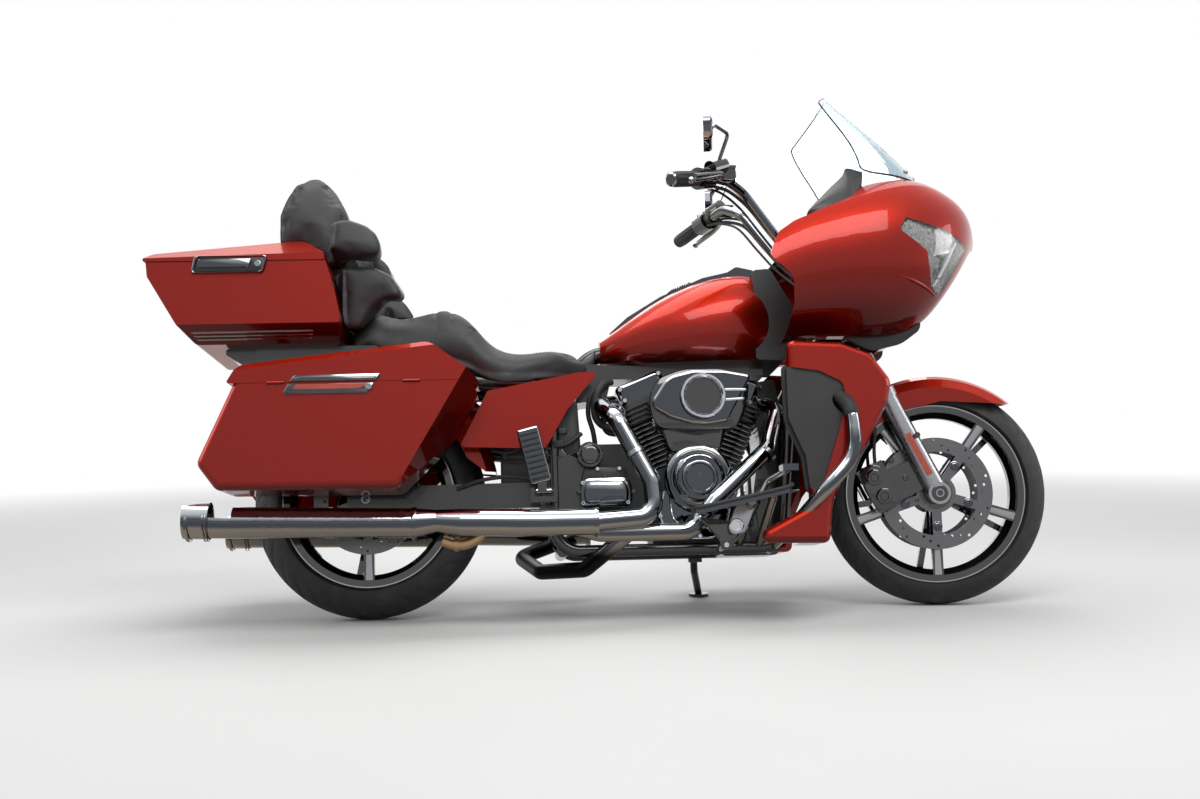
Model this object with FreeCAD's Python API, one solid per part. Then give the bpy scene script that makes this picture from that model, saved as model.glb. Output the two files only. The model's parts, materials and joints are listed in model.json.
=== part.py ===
"""Touring cruiser motorcycle: V-twin engine, frame-mounted fairing, hard saddlebags and a top case.

It is drawn upright, in millimetres, with X forward from the rear axle, Y to the rider's left and Z up
from the floor. At the end every piece is turned to the parked pose: steering turned a little to the
right, the whole machine leaning to its left on the side stand, both tyres and the stand's foot on Z = 0.
"""
import FreeCAD, Part
import math
import os

V = FreeCAD.Vector
OUT_DIR = "parts"

# Driving dimensions: chassis geometry
WHEELBASE = 1625.0
RAKE = 26.0                      # degrees from the vertical
TRAIL = 170.0
LEAN = 8.6                       # degrees to the left, parked
STEER_PARKED = -8.0              # degrees about the steering axis, negative is to the right
SEAT_GAP = 0.3                   # clearance between pieces that sit on each other

# Tyres and rims
FRONT_TYRE_R = 319.0
FRONT_TYRE_W = 130.0
FRONT_BEAD_R = 241.0
REAR_TYRE_R = 327.5
REAR_TYRE_W = 180.0
REAR_BEAD_R = 228.0
RIM_LIP = 14.0                   # height of the rim's flange above the bead seat
RIM_WALL = 9.0
SPOKES = 5
SPOKE_W = 30.0
SPOKE_T = 20.0
SPOKE_Y = 38.0                   # outer face of the front spokes at the hub
SPOKE_TWIN_W = 18.0
SPOKE_TWIN_TURN = 11.0           # degrees between a spoke and its thin twin on the far side
HUB_R = 44.0
AXLE_R = 12.5
AXLE_BORE_R = 8.0
AXLE_FIT = 0.4                   # gap round an axle inside its hub

# Brakes and drive
DISC_R = 160.0
DISC_INNER_R = 120.0
DISC_T = 5.0
REAR_DISC_R = 150.0
DISC_HOLE_R = 4.0
DISC_HOLES = 10                  # groups of holes round a disc
FRONT_DISC_Y = 68.0              # middle plane of each front disc
REAR_DISC_Y = -96.0
PULLEY_R = 105.0
SMALL_PULLEY = (640.0, 335.0, 44.0)
SWING_Y = 130.0
PULLEY_W = 28.0
PULLEY_Y = 96.0
BELT_T = 5.0

# Fork
FORK_Y = 112.0                   # leg spacing from the middle plane
SLIDER_R = 30.0
SLIDER_TOP = 330.0               # above the axle, along the leg
FORK_TUBE_R = 24.5
FORK_TOP = 700.0
YOKE_LOW = 470.0
YOKE_HIGH = 655.0
YOKE_T = 32.0
STEM_R = 17.0
HEAD_TUBE_R = 32.0

# Engine
CRANK = (915.0, 300.0)
V_HALF_ANGLE = 22.5
BARREL_R = 62.0
FIN_R = 90.0
FIN_PITCH = 14.0
FIN_T = 5.0
BARREL_BASE = 128.0              # from the crank's centre, along a cylinder
FINS = 10
HEAD_H = 66.0
ROCKER_H = 58.0

# Body
BAG_OUT = 430.0                  # outer face of a saddlebag
BAG_IN = 214.0                   # inner face
BAG_WALL = 4.0
BAG_SEAM = 612.0
CASE_SEAM = 976.0
CASE_WALL = 4.0
SHELL_WALL = 5.0
SCREEN_T = 4.0
LID_GAP = 1.0

# Exhaust on the right: x, centre z, radius along the collector cover and the can
COLLECTOR = [(634.0, 243.0, 35.0), (416.0, 245.0, 36.0), (266.0, 250.0, 36.0), (202.0, 255.0, 30.0),
             (143.0, 251.0, 39.0), (-394.0, 264.0, 42.0)]
MUFFLER_Y = 282.0
TIP_R = 49.0

# Front body: its tables give x from this datum, which moves with the wheelbase
HEAD_X = WHEELBASE - 225.0

BODIES = {}
NODES = {}
BRACKETS = []


# Helpers

def add(name, body, *shapes):
    """Keeps the pieces as one node of a body."""
    solids = []
    for shape in shapes:
        solids.extend(shape.Solids)
    NODES[name] = Part.makeCompound(solids) if len(solids) > 1 else solids[0]
    BODIES.setdefault(body, []).append(name)


def mirrored(shape):
    """The same piece on the other side of the middle plane."""
    return shape.mirror(V(0, 0, 0), V(0, 1, 0))


def fused(shapes):
    """One solid from several that overlap."""
    shapes = list(shapes)
    whole = shapes[0].multiFuse(shapes[1:]) if len(shapes) > 1 else shapes[0]
    return whole.removeSplitter()


def rounded_wire(points, radii, closed=True):
    """Straight runs through the points, with a tangent arc at each corner."""
    count = len(points)
    if not isinstance(radii, (list, tuple)):
        radii = [radii] * count
    corners = []
    for i, point in enumerate(points):
        if not closed and i in (0, count - 1) or radii[i] <= 0:
            corners.append((point, None, point))
            continue
        back, ahead = points[i - 1] - point, points[(i + 1) % count] - point
        a, b = V(back).normalize(), V(ahead).normalize()
        half = a.getAngle(b) / 2
        reach = min(radii[i] / math.tan(half), 0.48 * back.Length, 0.48 * ahead.Length)
        radius = reach * math.tan(half)
        middle = (a + b).normalize()
        centre = point + middle * (radius / math.sin(half))
        corners.append((point + a * reach, centre - middle * radius, point + b * reach))
    edges = []
    for i, (start, top, end) in enumerate(corners):
        if top is not None:
            edges.append(Part.Arc(start, top, end).toShape())
        if i + 1 < count or closed:
            after = corners[(i + 1) % count][0]
            if (after - end).Length > 1e-6:
                edges.append(Part.makeLine(end, after))
    return Part.Wire(edges)


def plate(points, y_from, y_to, radii=0):
    """A side outline of (x, z) points, carried across from one y to another."""
    wire = rounded_wire([V(x, y_from, z) for x, z in points], radii)
    return Part.Face(wire).extrude(V(0, y_to - y_from, 0))


def soft_plate(points, y_in, y_out, radii, edge):
    """A plate on the left whose outer edge is rounded in steps of (depth below the face, inset)."""
    outline = Part.Face(rounded_wire([V(x, 0, z) for x, z in points], radii))
    rings = []
    for depth, inset in edge:
        ring = (outline.makeOffset2D(-inset) if inset else outline).Wires[0].copy()
        ring.translate(V(0, y_out - depth, 0))
        rings.append(ring)
    return fused([plate(points, y_in, y_out - edge[0][0], radii), loft(rings, True)])


def deck(points, z_from, z_to, radii=0):
    """A plan outline of (x, y) points, carried up from one z to another."""
    wire = rounded_wire([V(x, y, z_from) for x, y in points], radii)
    return Part.Face(wire).extrude(V(0, 0, z_to - z_from))


def loft(wires, ruled=False):
    """A solid through closed sections."""
    return Part.makeLoft(wires, True, ruled)


def tube(points, radius, bend):
    """A round bar along straight runs that arcs join."""
    points = [V(*p) for p in points]
    path = rounded_wire(points, bend, closed=False)
    first = (points[1] - points[0]).normalize()
    ring = Part.Wire([Part.makeCircle(radius, points[0], first)])
    return Part.Solid(path.makePipeShell([ring], True, False))


def rod(start, end, radius):
    """A straight round bar between two points."""
    start, end = V(*start), V(*end)
    return Part.makeCylinder(radius, (end - start).Length, start, end - start)


def disc(x, z, radius, y_from, y_to):
    """A round plate across the machine."""
    return Part.makeCylinder(radius, abs(y_to - y_from), V(x, min(y_from, y_to), z), V(0, 1, 0))


def turned(profile, x, z, degrees=360.0):
    """A closed outline of (y, r) points turned about an axle at (x, z)."""
    wire = rounded_wire([V(x, y, z + r) for y, r in profile], 0)
    return Part.Face(wire).revolve(V(x, 0, z), V(0, 1, 0), degrees)


def box(x, y, z):
    """A block between pairs of x, y and z."""
    return Part.makeBox(x[1] - x[0], y[1] - y[0], z[1] - z[0], V(x[0], y[0], z[0]))


def arc_section(x, bottom, side, shoulder, top, inset=0.0):
    """A cross-section at x: a flat bottom, a bowed side through three (y, z) points, and an arc over the top."""
    middle, half = (bottom[1] + top) / 2, (top - bottom[1]) / 2
    points = []
    for y, z in (bottom, side, shoulder, (0, top)):
        points.append(V(x, y * (1 - inset / side[0]), middle + (z - middle) * (1 - inset / half)))
    b, s, t, crest = points
    b_right, s_right, t_right = [V(p.x, -p.y, p.z) for p in (b, s, t)]
    return Part.Wire([Part.makeLine(b_right, b), Part.Arc(b, s, t).toShape(),
                      Part.Arc(t, crest, t_right).toShape(), Part.Arc(t_right, s_right, b_right).toShape()])


def at_head(rows):
    """Rows whose x is drawn from the front body's datum, at their real place."""
    return [(row[0] + HEAD_X, *row[1:]) for row in rows]


def beyond(points, inside, inset=0.0):
    """A big block beyond the plane through three points, away from an inside point, to cut a facet with."""
    a, b, c = [V(*p) for p in points]
    out = (b - a).cross(c - a).normalize()
    if out.dot(V(*inside) - a) > 0:
        out = out * -1
    along = (b - a).normalize()
    other = out.cross(along)
    start = a - out * inset
    corners = [start + along * (900 * s) + other * (900 * t) for s, t in ((-1, -1), (1, -1), (1, 1), (-1, 1))]
    return Part.Face(Part.makePolygon(corners + [corners[0]])).extrude(out * 400)


def edges_at_y(shape, y, keep):
    """The edges that lie in one plane across the machine and pass a test on their box."""
    flat = [e for e in shape.Edges if abs(e.BoundBox.YMin - y) < 0.01 and abs(e.BoundBox.YMax - y) < 0.01]
    return [e for e in flat if keep(e.BoundBox)]


# Wheels

def tyre(x, radius, width, bead_r):
    """A road tyre: a round crown, flat side walls and a bead that sits on the rim."""
    crown = width / 2
    shoulder = radius - crown * 0.82
    seat = bead_r + SEAT_GAP
    foot = width * 0.36 - SEAT_GAP
    lip = seat + RIM_LIP
    y_edge = crown * math.cos(math.asin(0.18))
    edges = [
        Part.Arc(V(x, -y_edge, radius + shoulder), V(x, 0, 2 * radius),
                 V(x, y_edge, radius + shoulder)).toShape(),
        Part.makeLine(V(x, y_edge, radius + shoulder), V(x, foot, radius + lip)),
        Part.makeLine(V(x, foot, radius + lip), V(x, foot, radius + seat)),
        Part.makeLine(V(x, foot, radius + seat), V(x, -foot, radius + seat)),
        Part.makeLine(V(x, -foot, radius + seat), V(x, -foot, radius + lip)),
        Part.makeLine(V(x, -foot, radius + lip), V(x, -y_edge, radius + shoulder)),
    ]
    return Part.Face(Part.Wire(edges)).revolve(V(x, 0, radius), V(0, 1, 0), 360)


def rim(x, radius, width, bead_r, hub_half, spoke_half):
    """A cast rim: barrel with two lips, hub, and split spokes that reach spoke_half out at the hub."""
    foot = width * 0.36
    lip = bead_r + RIM_LIP
    barrel = turned([(-foot - 6, lip), (-foot, lip), (-foot, bead_r), (foot, bead_r), (foot, lip),
                     (foot + 6, lip), (foot + 6, bead_r - RIM_WALL + 2), (foot - 14, bead_r - RIM_WALL),
                     (foot * 0.35, bead_r - RIM_WALL - 14), (-foot * 0.35, bead_r - RIM_WALL - 14),
                     (14 - foot, bead_r - RIM_WALL), (-foot - 6, bead_r - RIM_WALL + 2)], x, radius)
    hub = disc(x, radius, HUB_R, -hub_half, hub_half)
    reach = bead_r - RIM_WALL + 1
    near = foot + 2
    arms = []
    for n in range(SPOKES):
        for width_here, side, turn in ((SPOKE_W, -1, 0.0), (SPOKE_TWIN_W, 1, -SPOKE_TWIN_TURN)):
            angle = 360.0 / SPOKES * n - 90 + turn
            rim_y, hub_y = side * near, side * spoke_half
            outline = [V(0, hub_y, HUB_R - 12), V(0, rim_y, reach),
                       V(0, rim_y - side * SPOKE_T, reach), V(0, hub_y - side * SPOKE_T * 1.5, HUB_R - 12)]
            arm = Part.Face(rounded_wire(outline, 0)).extrude(V(width_here, 0, 0))
            arm.translate(V(x - width_here / 2, 0, radius))
            arm.rotate(V(x, 0, radius), V(0, 1, 0), 90 - angle)
            arms.append(arm)
    bore = disc(x, radius, AXLE_R + AXLE_FIT, -hub_half - 1, hub_half + 1)
    return fused([barrel, hub] + arms).cut(bore)


def brake_disc(x, z, radius, y_mid, inner_r):
    """A drilled brake disc with five tabs, on a carrier ring that seats on the hub."""
    ring = disc(x, z, radius, y_mid - DISC_T / 2, y_mid + DISC_T / 2)
    ring = ring.cut(disc(x, z, inner_r, y_mid - DISC_T, y_mid + DISC_T))
    carrier_r = HUB_R + 12
    tabs = [disc(x, z, carrier_r, y_mid - DISC_T / 2, y_mid + DISC_T / 2)]
    for n in range(SPOKES):
        tab = box((x - 13, x + 13), (y_mid - DISC_T / 2, y_mid + DISC_T / 2), (z + carrier_r - 8, z + inner_r + 6))
        tab.rotate(V(x, 0, z), V(0, 1, 0), 360.0 / SPOKES * n + 180)
        tabs.append(tab)
    whole = fused([ring] + tabs)
    cuts = [disc(x, z, HUB_R + SEAT_GAP, y_mid - DISC_T, y_mid + DISC_T)]
    for n in range(DISC_HOLES):
        for r, turn in ((radius - 10, 0), (radius - 22, 9), (inner_r + 9, 18)):
            angle = math.radians(360.0 / DISC_HOLES * n + turn)
            cuts.append(disc(x + r * math.sin(angle), z + r * math.cos(angle), DISC_HOLE_R,
                             y_mid - DISC_T, y_mid + DISC_T))
    return whole.cut(Part.makeCompound(cuts))


def wheels():
    """Both wheels with their tyres, brake discs and the belt pulley."""
    front_hub = FRONT_DISC_Y + DISC_T / 2 + 6
    add("front_tyre", "front_wheel", tyre(WHEELBASE, FRONT_TYRE_R, FRONT_TYRE_W, FRONT_BEAD_R))
    add("front_rim", "front_wheel", rim(WHEELBASE, FRONT_TYRE_R, FRONT_TYRE_W, FRONT_BEAD_R, front_hub,
                                           SPOKE_Y))
    discs = [brake_disc(WHEELBASE, FRONT_TYRE_R, DISC_R, side * FRONT_DISC_Y, DISC_INNER_R) for side in (-1, 1)]
    add("front_discs", "front_wheel", *discs)
    rear_hub = PULLEY_Y + PULLEY_W - 12
    add("rear_tyre", "rear_wheel", tyre(0, REAR_TYRE_R, REAR_TYRE_W, REAR_BEAD_R))
    add("rear_rim", "rear_wheel", rim(0, REAR_TYRE_R, REAR_TYRE_W, REAR_BEAD_R, rear_hub,
                                         abs(REAR_DISC_Y) - DISC_T / 2 - 8))
    add("rear_disc", "rear_wheel",
        brake_disc(0, REAR_TYRE_R, REAR_DISC_R, REAR_DISC_Y, DISC_INNER_R - 10))
    pulley = disc(0, REAR_TYRE_R, PULLEY_R, PULLEY_Y, PULLEY_Y + PULLEY_W - 12)
    pulley = pulley.cut(disc(0, REAR_TYRE_R, HUB_R + SEAT_GAP, PULLEY_Y - 1, PULLEY_Y + PULLEY_W))
    windows = []
    for n in range(SPOKES):
        angle = math.radians(360.0 / SPOKES * n)
        windows.append(disc(72 * math.sin(angle), REAR_TYRE_R + 72 * math.cos(angle), 15,
                            PULLEY_Y - 1, PULLEY_Y + PULLEY_W))
    add("rear_pulley", "rear_wheel", pulley.cut(Part.makeCompound(windows)))


# Steering group

def leg_point(along, y=0.0, ahead=0.0):
    """A point in the fork's frame: along a leg from the axle, across, and square ahead of the leg."""
    s, c = math.sin(math.radians(RAKE)), math.cos(math.radians(RAKE))
    return (WHEELBASE - along * s + ahead * c, y, FRONT_TYRE_R + along * c + ahead * s)


def axis_offset():
    """How far the steering axis lies ahead of the fork's centre line."""
    s, c = math.sin(math.radians(RAKE)), math.cos(math.radians(RAKE))
    return TRAIL * c - FRONT_TYRE_R * s


def leg_block(along, y, ahead):
    """A block square to the fork legs, between pairs of along, y and ahead."""
    block = box(ahead, y, along)
    block.rotate(V(0, 0, 0), V(0, 1, 0), -RAKE)
    block.translate(V(WHEELBASE, 0, FRONT_TYRE_R))
    return block


def fork():
    """Fork sliders with their axle lugs, fork tubes and the two yokes with the stem."""
    sliders = []
    for side in (-1, 1):
        leg = rod(leg_point(-8, side * FORK_Y), leg_point(SLIDER_TOP, side * FORK_Y), SLIDER_R)
        lug = rod((WHEELBASE, side * (FORK_Y - 29), FRONT_TYRE_R), (WHEELBASE, side * (FORK_Y + 29), FRONT_TYRE_R), 31)
        collar = rod(leg_point(SLIDER_TOP - 26, side * FORK_Y), leg_point(SLIDER_TOP, side * FORK_Y), SLIDER_R + 3)
        bore = disc(WHEELBASE, FRONT_TYRE_R, AXLE_R, side * (FORK_Y - 40), side * (FORK_Y + 40))
        sliders.append(fused([leg, lug, collar]).cut(bore))
    add("fork_sliders", "steering", *sliders)
    tubes = [rod(leg_point(SLIDER_TOP, side * FORK_Y), leg_point(FORK_TOP, side * FORK_Y), FORK_TUBE_R)
             for side in (-1, 1)]
    yokes = [leg_block((low, low + YOKE_T), (-FORK_Y - 36, FORK_Y + 36), (-36, 44)) for low in (YOKE_LOW, YOKE_HIGH)]
    ahead = axis_offset()
    stem = rod(leg_point(YOKE_LOW, 0, ahead), leg_point(YOKE_HIGH + YOKE_T, 0, ahead), STEM_R)
    add("fork_yokes", "steering", fused(yokes + [stem] + tubes))
    axle = disc(WHEELBASE, FRONT_TYRE_R, AXLE_R, -FORK_Y - 34, FORK_Y + 34)
    axle = axle.cut(disc(WHEELBASE, FRONT_TYRE_R, AXLE_BORE_R, -FORK_Y - 40, FORK_Y + 40))
    add("front_axle", "steering", axle)


def front_fender():
    """A fender shell over the front tyre, cut to its side outline, on two brackets at the fork."""
    outer = [(-82, 255), (-82, 305), (-60, 330), (-28, 340), (28, 340), (60, 330), (82, 305), (82, 255)]
    inner = [(78, 255), (78, 303), (58, 326), (27, 336), (-27, 336), (-58, 326), (-78, 303), (-78, 255)]
    ring = turned(outer + inner, WHEELBASE, FRONT_TYRE_R)
    side = [(237, 574), (199, 570), (24, 583), (-26, 572), (-44, 553), (-38, 513), (-80, 500),
            (-225, 470), (-295, 440), (-385, 440), (-385, 720), (275, 720), (275, 620)]
    keep = plate([(x + WHEELBASE, z) for x, z in side], -100, 100, [10, 10, 10, 10, 10, 8, 8, 20, 10, 0, 0, 0, 0])
    shell = ring.common(keep)
    mounts = [leg_block((258, 300), (side * 84 - 4, side * 84 + 4), (-20, 20)) for side in (-1, 1)]
    fork_side = NODES["fork_sliders"]
    add("front_fender", "steering", fused([shell] + mounts).cut(fork_side))


BAR_PATH = at_head([(-99, 60, 985), (-200, 128, 1062), (-298, 150, 1200), (-352, 214, 1231), (-495, 442, 1180)])
BAR_R = 14.0
GRIP_R = 20.0
GRIP_LENGTH = 128.0


def bar_point(back, ahead=0.0, up=0.0, side=1):
    """A point near the grip: back along the bar's straight end from its tip."""
    tip, inner = V(*BAR_PATH[-1]), V(*BAR_PATH[-2])
    along = (inner - tip).normalize()
    lift = V(0, 0, 1)
    front = along.cross(lift).normalize()
    if front.x < 0:
        front = front * -1
    rise = front.cross(along).normalize()
    if rise.z < 0:
        rise = rise * -1
    p = tip + along * back + front * ahead + rise * up
    return (p.x, p.y * side, p.z)


def handlebar():
    """The bar with its risers, the two grips, and the hand controls with levers."""
    path = [(x, -y, z) for x, y, z in reversed(BAR_PATH)] + BAR_PATH
    bar = tube(path, BAR_R, 60)
    risers = []
    for side in (-1, 1):
        risers.append(rod(leg_point(YOKE_HIGH + YOKE_T, side * 46, 4), (BAR_PATH[0][0], side * 46, 985), 18))
    clamp = rod((BAR_PATH[0][0], -64, 985), (BAR_PATH[0][0], 64, 985), 24)
    add("handlebar", "steering", fused([bar, clamp] + risers).cut(NODES["fork_yokes"]))
    grips, housings, levers = [], [], []
    for side in (-1, 1):
        grip = rod(bar_point(-4, 0, 0, side), bar_point(GRIP_LENGTH, 0, 0, side), GRIP_R)
        grips.append(grip.cut(rod(bar_point(0, 0, 0, side), bar_point(GRIP_LENGTH + 9, 0, 0, side), BAR_R)))
        housing = rod(bar_point(GRIP_LENGTH + 4, 0, 0, side), bar_point(GRIP_LENGTH + 60, 0, 0, side), 31)
        tank = rod(bar_point(GRIP_LENGTH + 50, 16, 22, side), bar_point(GRIP_LENGTH + 100, 30, 30, side), 25)
        lever = tube([bar_point(GRIP_LENGTH + 62, 30, 6, side), bar_point(GRIP_LENGTH + 34, 62, 4, side),
                      bar_point(10, 66, -2, side)], 7, 30)
        boss = rod(bar_point(GRIP_LENGTH + 60, 4, 4, side), bar_point(GRIP_LENGTH + 66, 42, 6, side), 15)
        whole = fused([housing, tank, boss, lever])
        housings.append(whole.cut(rod(bar_point(0, 0, 0, side), bar_point(GRIP_LENGTH + 200, 0, 0, side), BAR_R)))
    add("grips", "steering", *grips)
    add("hand_controls", "steering", *[piece.cut(NODES["handlebar"]) for piece in housings])


MIRROR = (HEAD_X - 398.0, 440.0, 1303.0)         # centre of the left mirror's glass


def mirrors():
    """Each mirror: a bent stem from the hand control and a rounded head."""
    pieces = []
    for side in (-1, 1):
        foot = bar_point(GRIP_LENGTH + 78, 34, 50, side)
        x, y, z = MIRROR
        stem = tube([foot, (x + 60, side * 315, 1331), (x + 22, side * 400, 1335), (x + 8, side * 424, 1316)], 5.5, 18)
        head = rounded_wire([V(x + 16, y + dy, z + dz) for dy, dz in
                             ((-78, -40), (70, -30), (88, 24), (40, 46), (-70, 40))], 26)
        shell = Part.Face(head).extrude(V(-26, 0, 0))
        front = [e for e in shell.Edges if e.BoundBox.XMin > x + 15]
        shell = shell.makeFillet(12, front)
        if side < 0:
            shell = mirrored(shell)
        pieces.append(fused([stem, shell]))
    add("mirrors", "steering", *[piece.cut(NODES["hand_controls"]) for piece in pieces])


def front_calipers():
    """A caliper behind each fork leg, with a slot that the disc runs in."""
    pieces = []
    for side in (-1, 1):
        body = leg_block((28, 158), (side * 77 - 24, side * 77 + 24), (-176, -96))
        arm = leg_block((30, 120), (side * 96 - 6, side * 96 + 6), (-120, -20))
        slot_y = side * FRONT_DISC_Y
        slot = disc(WHEELBASE, FRONT_TYRE_R, DISC_R + 6, slot_y - DISC_T / 2 - 5.5, slot_y + DISC_T / 2 + 5.5)
        pieces.append(fused([body, arm]).cut(slot))
    whole = [piece.cut(NODES["fork_sliders"]).cut(NODES["front_fender"]) for piece in pieces]
    add("brake_calipers", "steering", *whole)


# Chassis

def axis_x(z):
    """Where the steering axis is at a height."""
    return WHEELBASE + TRAIL - z * math.tan(math.radians(RAKE))


FRAME_R = 17.0
FRAME_Y = 150.0
PIVOT = (590.0, 330.0)


def frame():
    """Steering head, backbone, two cradle loops and the rear rails."""
    ahead = axis_offset()
    head = rod(leg_point(YOKE_LOW + YOKE_T + 6, 0, ahead), leg_point(YOKE_HIGH - 6, 0, ahead), HEAD_TUBE_R)
    bore = rod(leg_point(YOKE_LOW, 0, ahead), leg_point(YOKE_HIGH, 0, ahead), STEM_R + 0.5)
    neck = (axis_x(840) - 10, 0, 840)
    backbone = tube([neck, (HEAD_X - 220, 0, 770), (640, 0, 745), (560, 0, 660)], 24, 90)
    tray = box((640, HEAD_X - 270), (-70, 70), (662, 702))
    parts = [head, backbone, tray, rod((900, 0, 690), (900, 0, 750), 20)]
    for side in (-1, 1):
        y = side * FRAME_Y
        loop = tube([(axis_x(800) - 6, 0, 800), (HEAD_X - 110, side * 60, 760), (HEAD_X - 210, y, 560),
                     (HEAD_X - 250, y, 170), (520, y, 170), (520, y, 640), (-300, y, 690)], FRAME_R, 70)
        parts.append(loop)
        parts.append(rod((560, 0, 662), (520, y, 600), FRAME_R))
    parts.append(rod((-250, -FRAME_Y, 687), (-250, FRAME_Y, 687), FRAME_R))
    parts.append(rod((HEAD_X - 280, -FRAME_Y, 170), (HEAD_X - 280, FRAME_Y, 170), FRAME_R))
    parts.append(rod((540, -FRAME_Y, 172), (540, FRAME_Y, 172), FRAME_R))
    plates = [plate([(480, 250), (640, 250), (640, 400), (560, 440), (480, 400)], side * FRAME_Y - 12,
                    side * FRAME_Y + 12, 20) for side in (-1, 1)]
    tie = disc(PIVOT[0], PIVOT[1], 20, -FRAME_Y, FRAME_Y)
    add("frame", "chassis", fused(parts + plates + [tie]).cut(bore))


def swingarm():
    """Two arms from the pivot to the rear axle, joined by a cross box ahead of the tyre."""
    arms = []
    for side in (-1, 1):
        outline = [(-52, 300), (60, 292), (560, 296), (625, 330), (560, 366), (60, 362), (-52, 356)]
        arms.append(plate(outline, side * SWING_Y - 12, side * SWING_Y + 12, 22))
    cross = box((430, 500), (-SWING_Y, SWING_Y), (302, 360))
    arm = fused(arms + [cross])
    axle_hole = disc(0, REAR_TYRE_R, AXLE_R, -200, 200)
    add("swingarm", "chassis", arm.cut(axle_hole).cut(NODES["frame"]))
    axle = disc(0, REAR_TYRE_R, AXLE_R, -152, 152)
    add("rear_axle", "chassis", axle.cut(disc(0, REAR_TYRE_R, AXLE_BORE_R, -160, 160)))


def cylinder_at(side):
    """Placement of a cylinder: side is -1 for the rear one, 1 for the front one."""
    return FreeCAD.Placement(V(CRANK[0], 0, CRANK[1]), FreeCAD.Rotation(V(0, 1, 0), side * V_HALF_ANGLE))


def half_space(side):
    """The room on one side of the V's middle plane."""
    return box((CRANK[0] + 3, CRANK[0] + 400) if side > 0 else (CRANK[0] - 400, CRANK[0] - 3), (-300, 300), (0, 900))


def engine_top():
    """Finned barrels and heads with rocker covers on them."""
    barrels, covers = [], []
    for side in (-1, 1):
        top = BARREL_BASE + FINS * FIN_PITCH
        parts = [Part.makeCylinder(BARREL_R, top - BARREL_BASE + HEAD_H, V(0, 0, BARREL_BASE))]
        for n in range(FINS):
            z = BARREL_BASE + 6 + n * FIN_PITCH
            fin = deck([(-FIN_R, -FIN_R + 4), (FIN_R, -FIN_R + 4), (FIN_R, FIN_R - 4), (-FIN_R, FIN_R - 4)],
                       z, z + FIN_T, 42)
            parts.append(fin)
        for n in range(4):
            z = top + 6 + n * FIN_PITCH
            parts.append(deck([(-88, -104), (88, -104), (88, 104), (-88, 104)], z, z + FIN_T, 22))
        parts.append(deck([(-76, -92), (76, -92), (76, 92), (-76, 92)], top + 2, top + HEAD_H, 20))
        barrel = fused(parts)
        cover = deck([(-72, -92), (72, -92), (72, 92), (-72, 92)], top + HEAD_H, top + HEAD_H + ROCKER_H, 24)
        cover = cover.makeFillet(12, [e for e in cover.Edges if e.BoundBox.ZMin > top + HEAD_H + ROCKER_H - 1])
        for shape, group in ((barrel, barrels), (cover, covers)):
            shape.Placement = cylinder_at(side)
            group.append(shape.common(half_space(side)))
    add("cylinders", "chassis", *[b.cut(NODES["frame"]) for b in barrels])
    add("rocker_covers", "chassis", *[c.cut(NODES["frame"]) for c in covers])


def engine_bottom():
    """Crankcase, timing cover, transmission and the primary cover on the left."""
    x, z = CRANK
    case = [disc(x, z, 122, -100, 96), box((x - 120, x + 120), (-96, 96), (z - 112, z))]
    for side in (-1, 1):
        base = Part.makeBox(170, 176, 60, V(-85, -88, BARREL_BASE - 60))
        base.Placement = cylinder_at(side)
        case.append(base.common(half_space(side)))
        case.append(box((x - 40, x + 40), (-80, 80), (z + 60, z + 110)))
    crankcase = fused(case).cut(NODES["cylinders"])
    add("crankcase", "chassis", crankcase)
    gear_case = plate([(x - 112, z - 40), (x - 60, z - 104), (x + 70, z - 104), (x + 118, z + 30),
                       (x + 70, z + 128), (x - 50, z + 138)], -100, -168, 36)
    round_cover = disc(921, 363, 62, -168, -200)
    cover = fused([gear_case, round_cover])
    add("timing_cover", "chassis", cover)
    box_part = plate([(560, 250), (786, 230), (786, 420), (740, 470), (590, 470), (560, 420)], -118, 96, 26)
    oval = plate([(600, 292), (728, 292), (728, 366), (600, 366)], -118, -190, 34)
    starter = disc(620, 434, 34, -118, -196)
    px, pz, pr = SMALL_PULLEY
    pulley = disc(px, pz, pr, PULLEY_Y + 1, PULLEY_Y + PULLEY_W - 13)
    shaft = disc(px, pz, 14, 90, PULLEY_Y + 4)
    gearbox = fused([box_part, oval, starter, pulley, shaft]).cut(NODES["frame"]).cut(crankcase)
    for name in ("swingarm", "cylinders"):
        gearbox = gearbox.cut(NODES[name])
    add("transmission", "chassis", max(gearbox.Solids, key=lambda s: s.Volume))
    primary = plate([(560, 230), (980, 185), (1040, 300), (980, 415), (560, 400)], 96, 136, 90)
    dome = plate([(580, 245), (970, 200), (1020, 300), (970, 400), (580, 385)], 136, 200, 80)
    pocket = box((500, 704), (90, PULLEY_Y + PULLEY_W - 9), (270, 402))
    add("primary_cover", "chassis", fused([primary, dome]).cut(pocket).cut(NODES["frame"]).cut(NODES["swingarm"]))


def air_cleaner():
    """The air cleaner on the right of the V: a filter body, a teardrop cover and its round centre."""
    outline = [(784, 562), (842, 527), (900, 510), (950, 506), (1000, 514), (1072, 641), (994, 656), (909, 658),
               (836, 641)]
    cover = plate(outline, -205, -246, [24, 60, 60, 40, 16, 10, 60, 60, 60])
    cover = cover.makeFillet(9, edges_at_y(cover, -246, lambda b: True))
    centre = disc(932, 583, 61, -240, -262)
    centre = centre.cut(disc(932, 583, 47, -257, -270))
    body = disc(925, 585, 52, -205, -120)
    stem = box((890, 950), (-120, -60), (545, 620))
    whole = fused([cover, centre, body, stem])
    add("air_cleaner", "chassis", whole.cut(NODES["cylinders"]).cut(NODES["rocker_covers"]).cut(NODES["frame"]))


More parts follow.
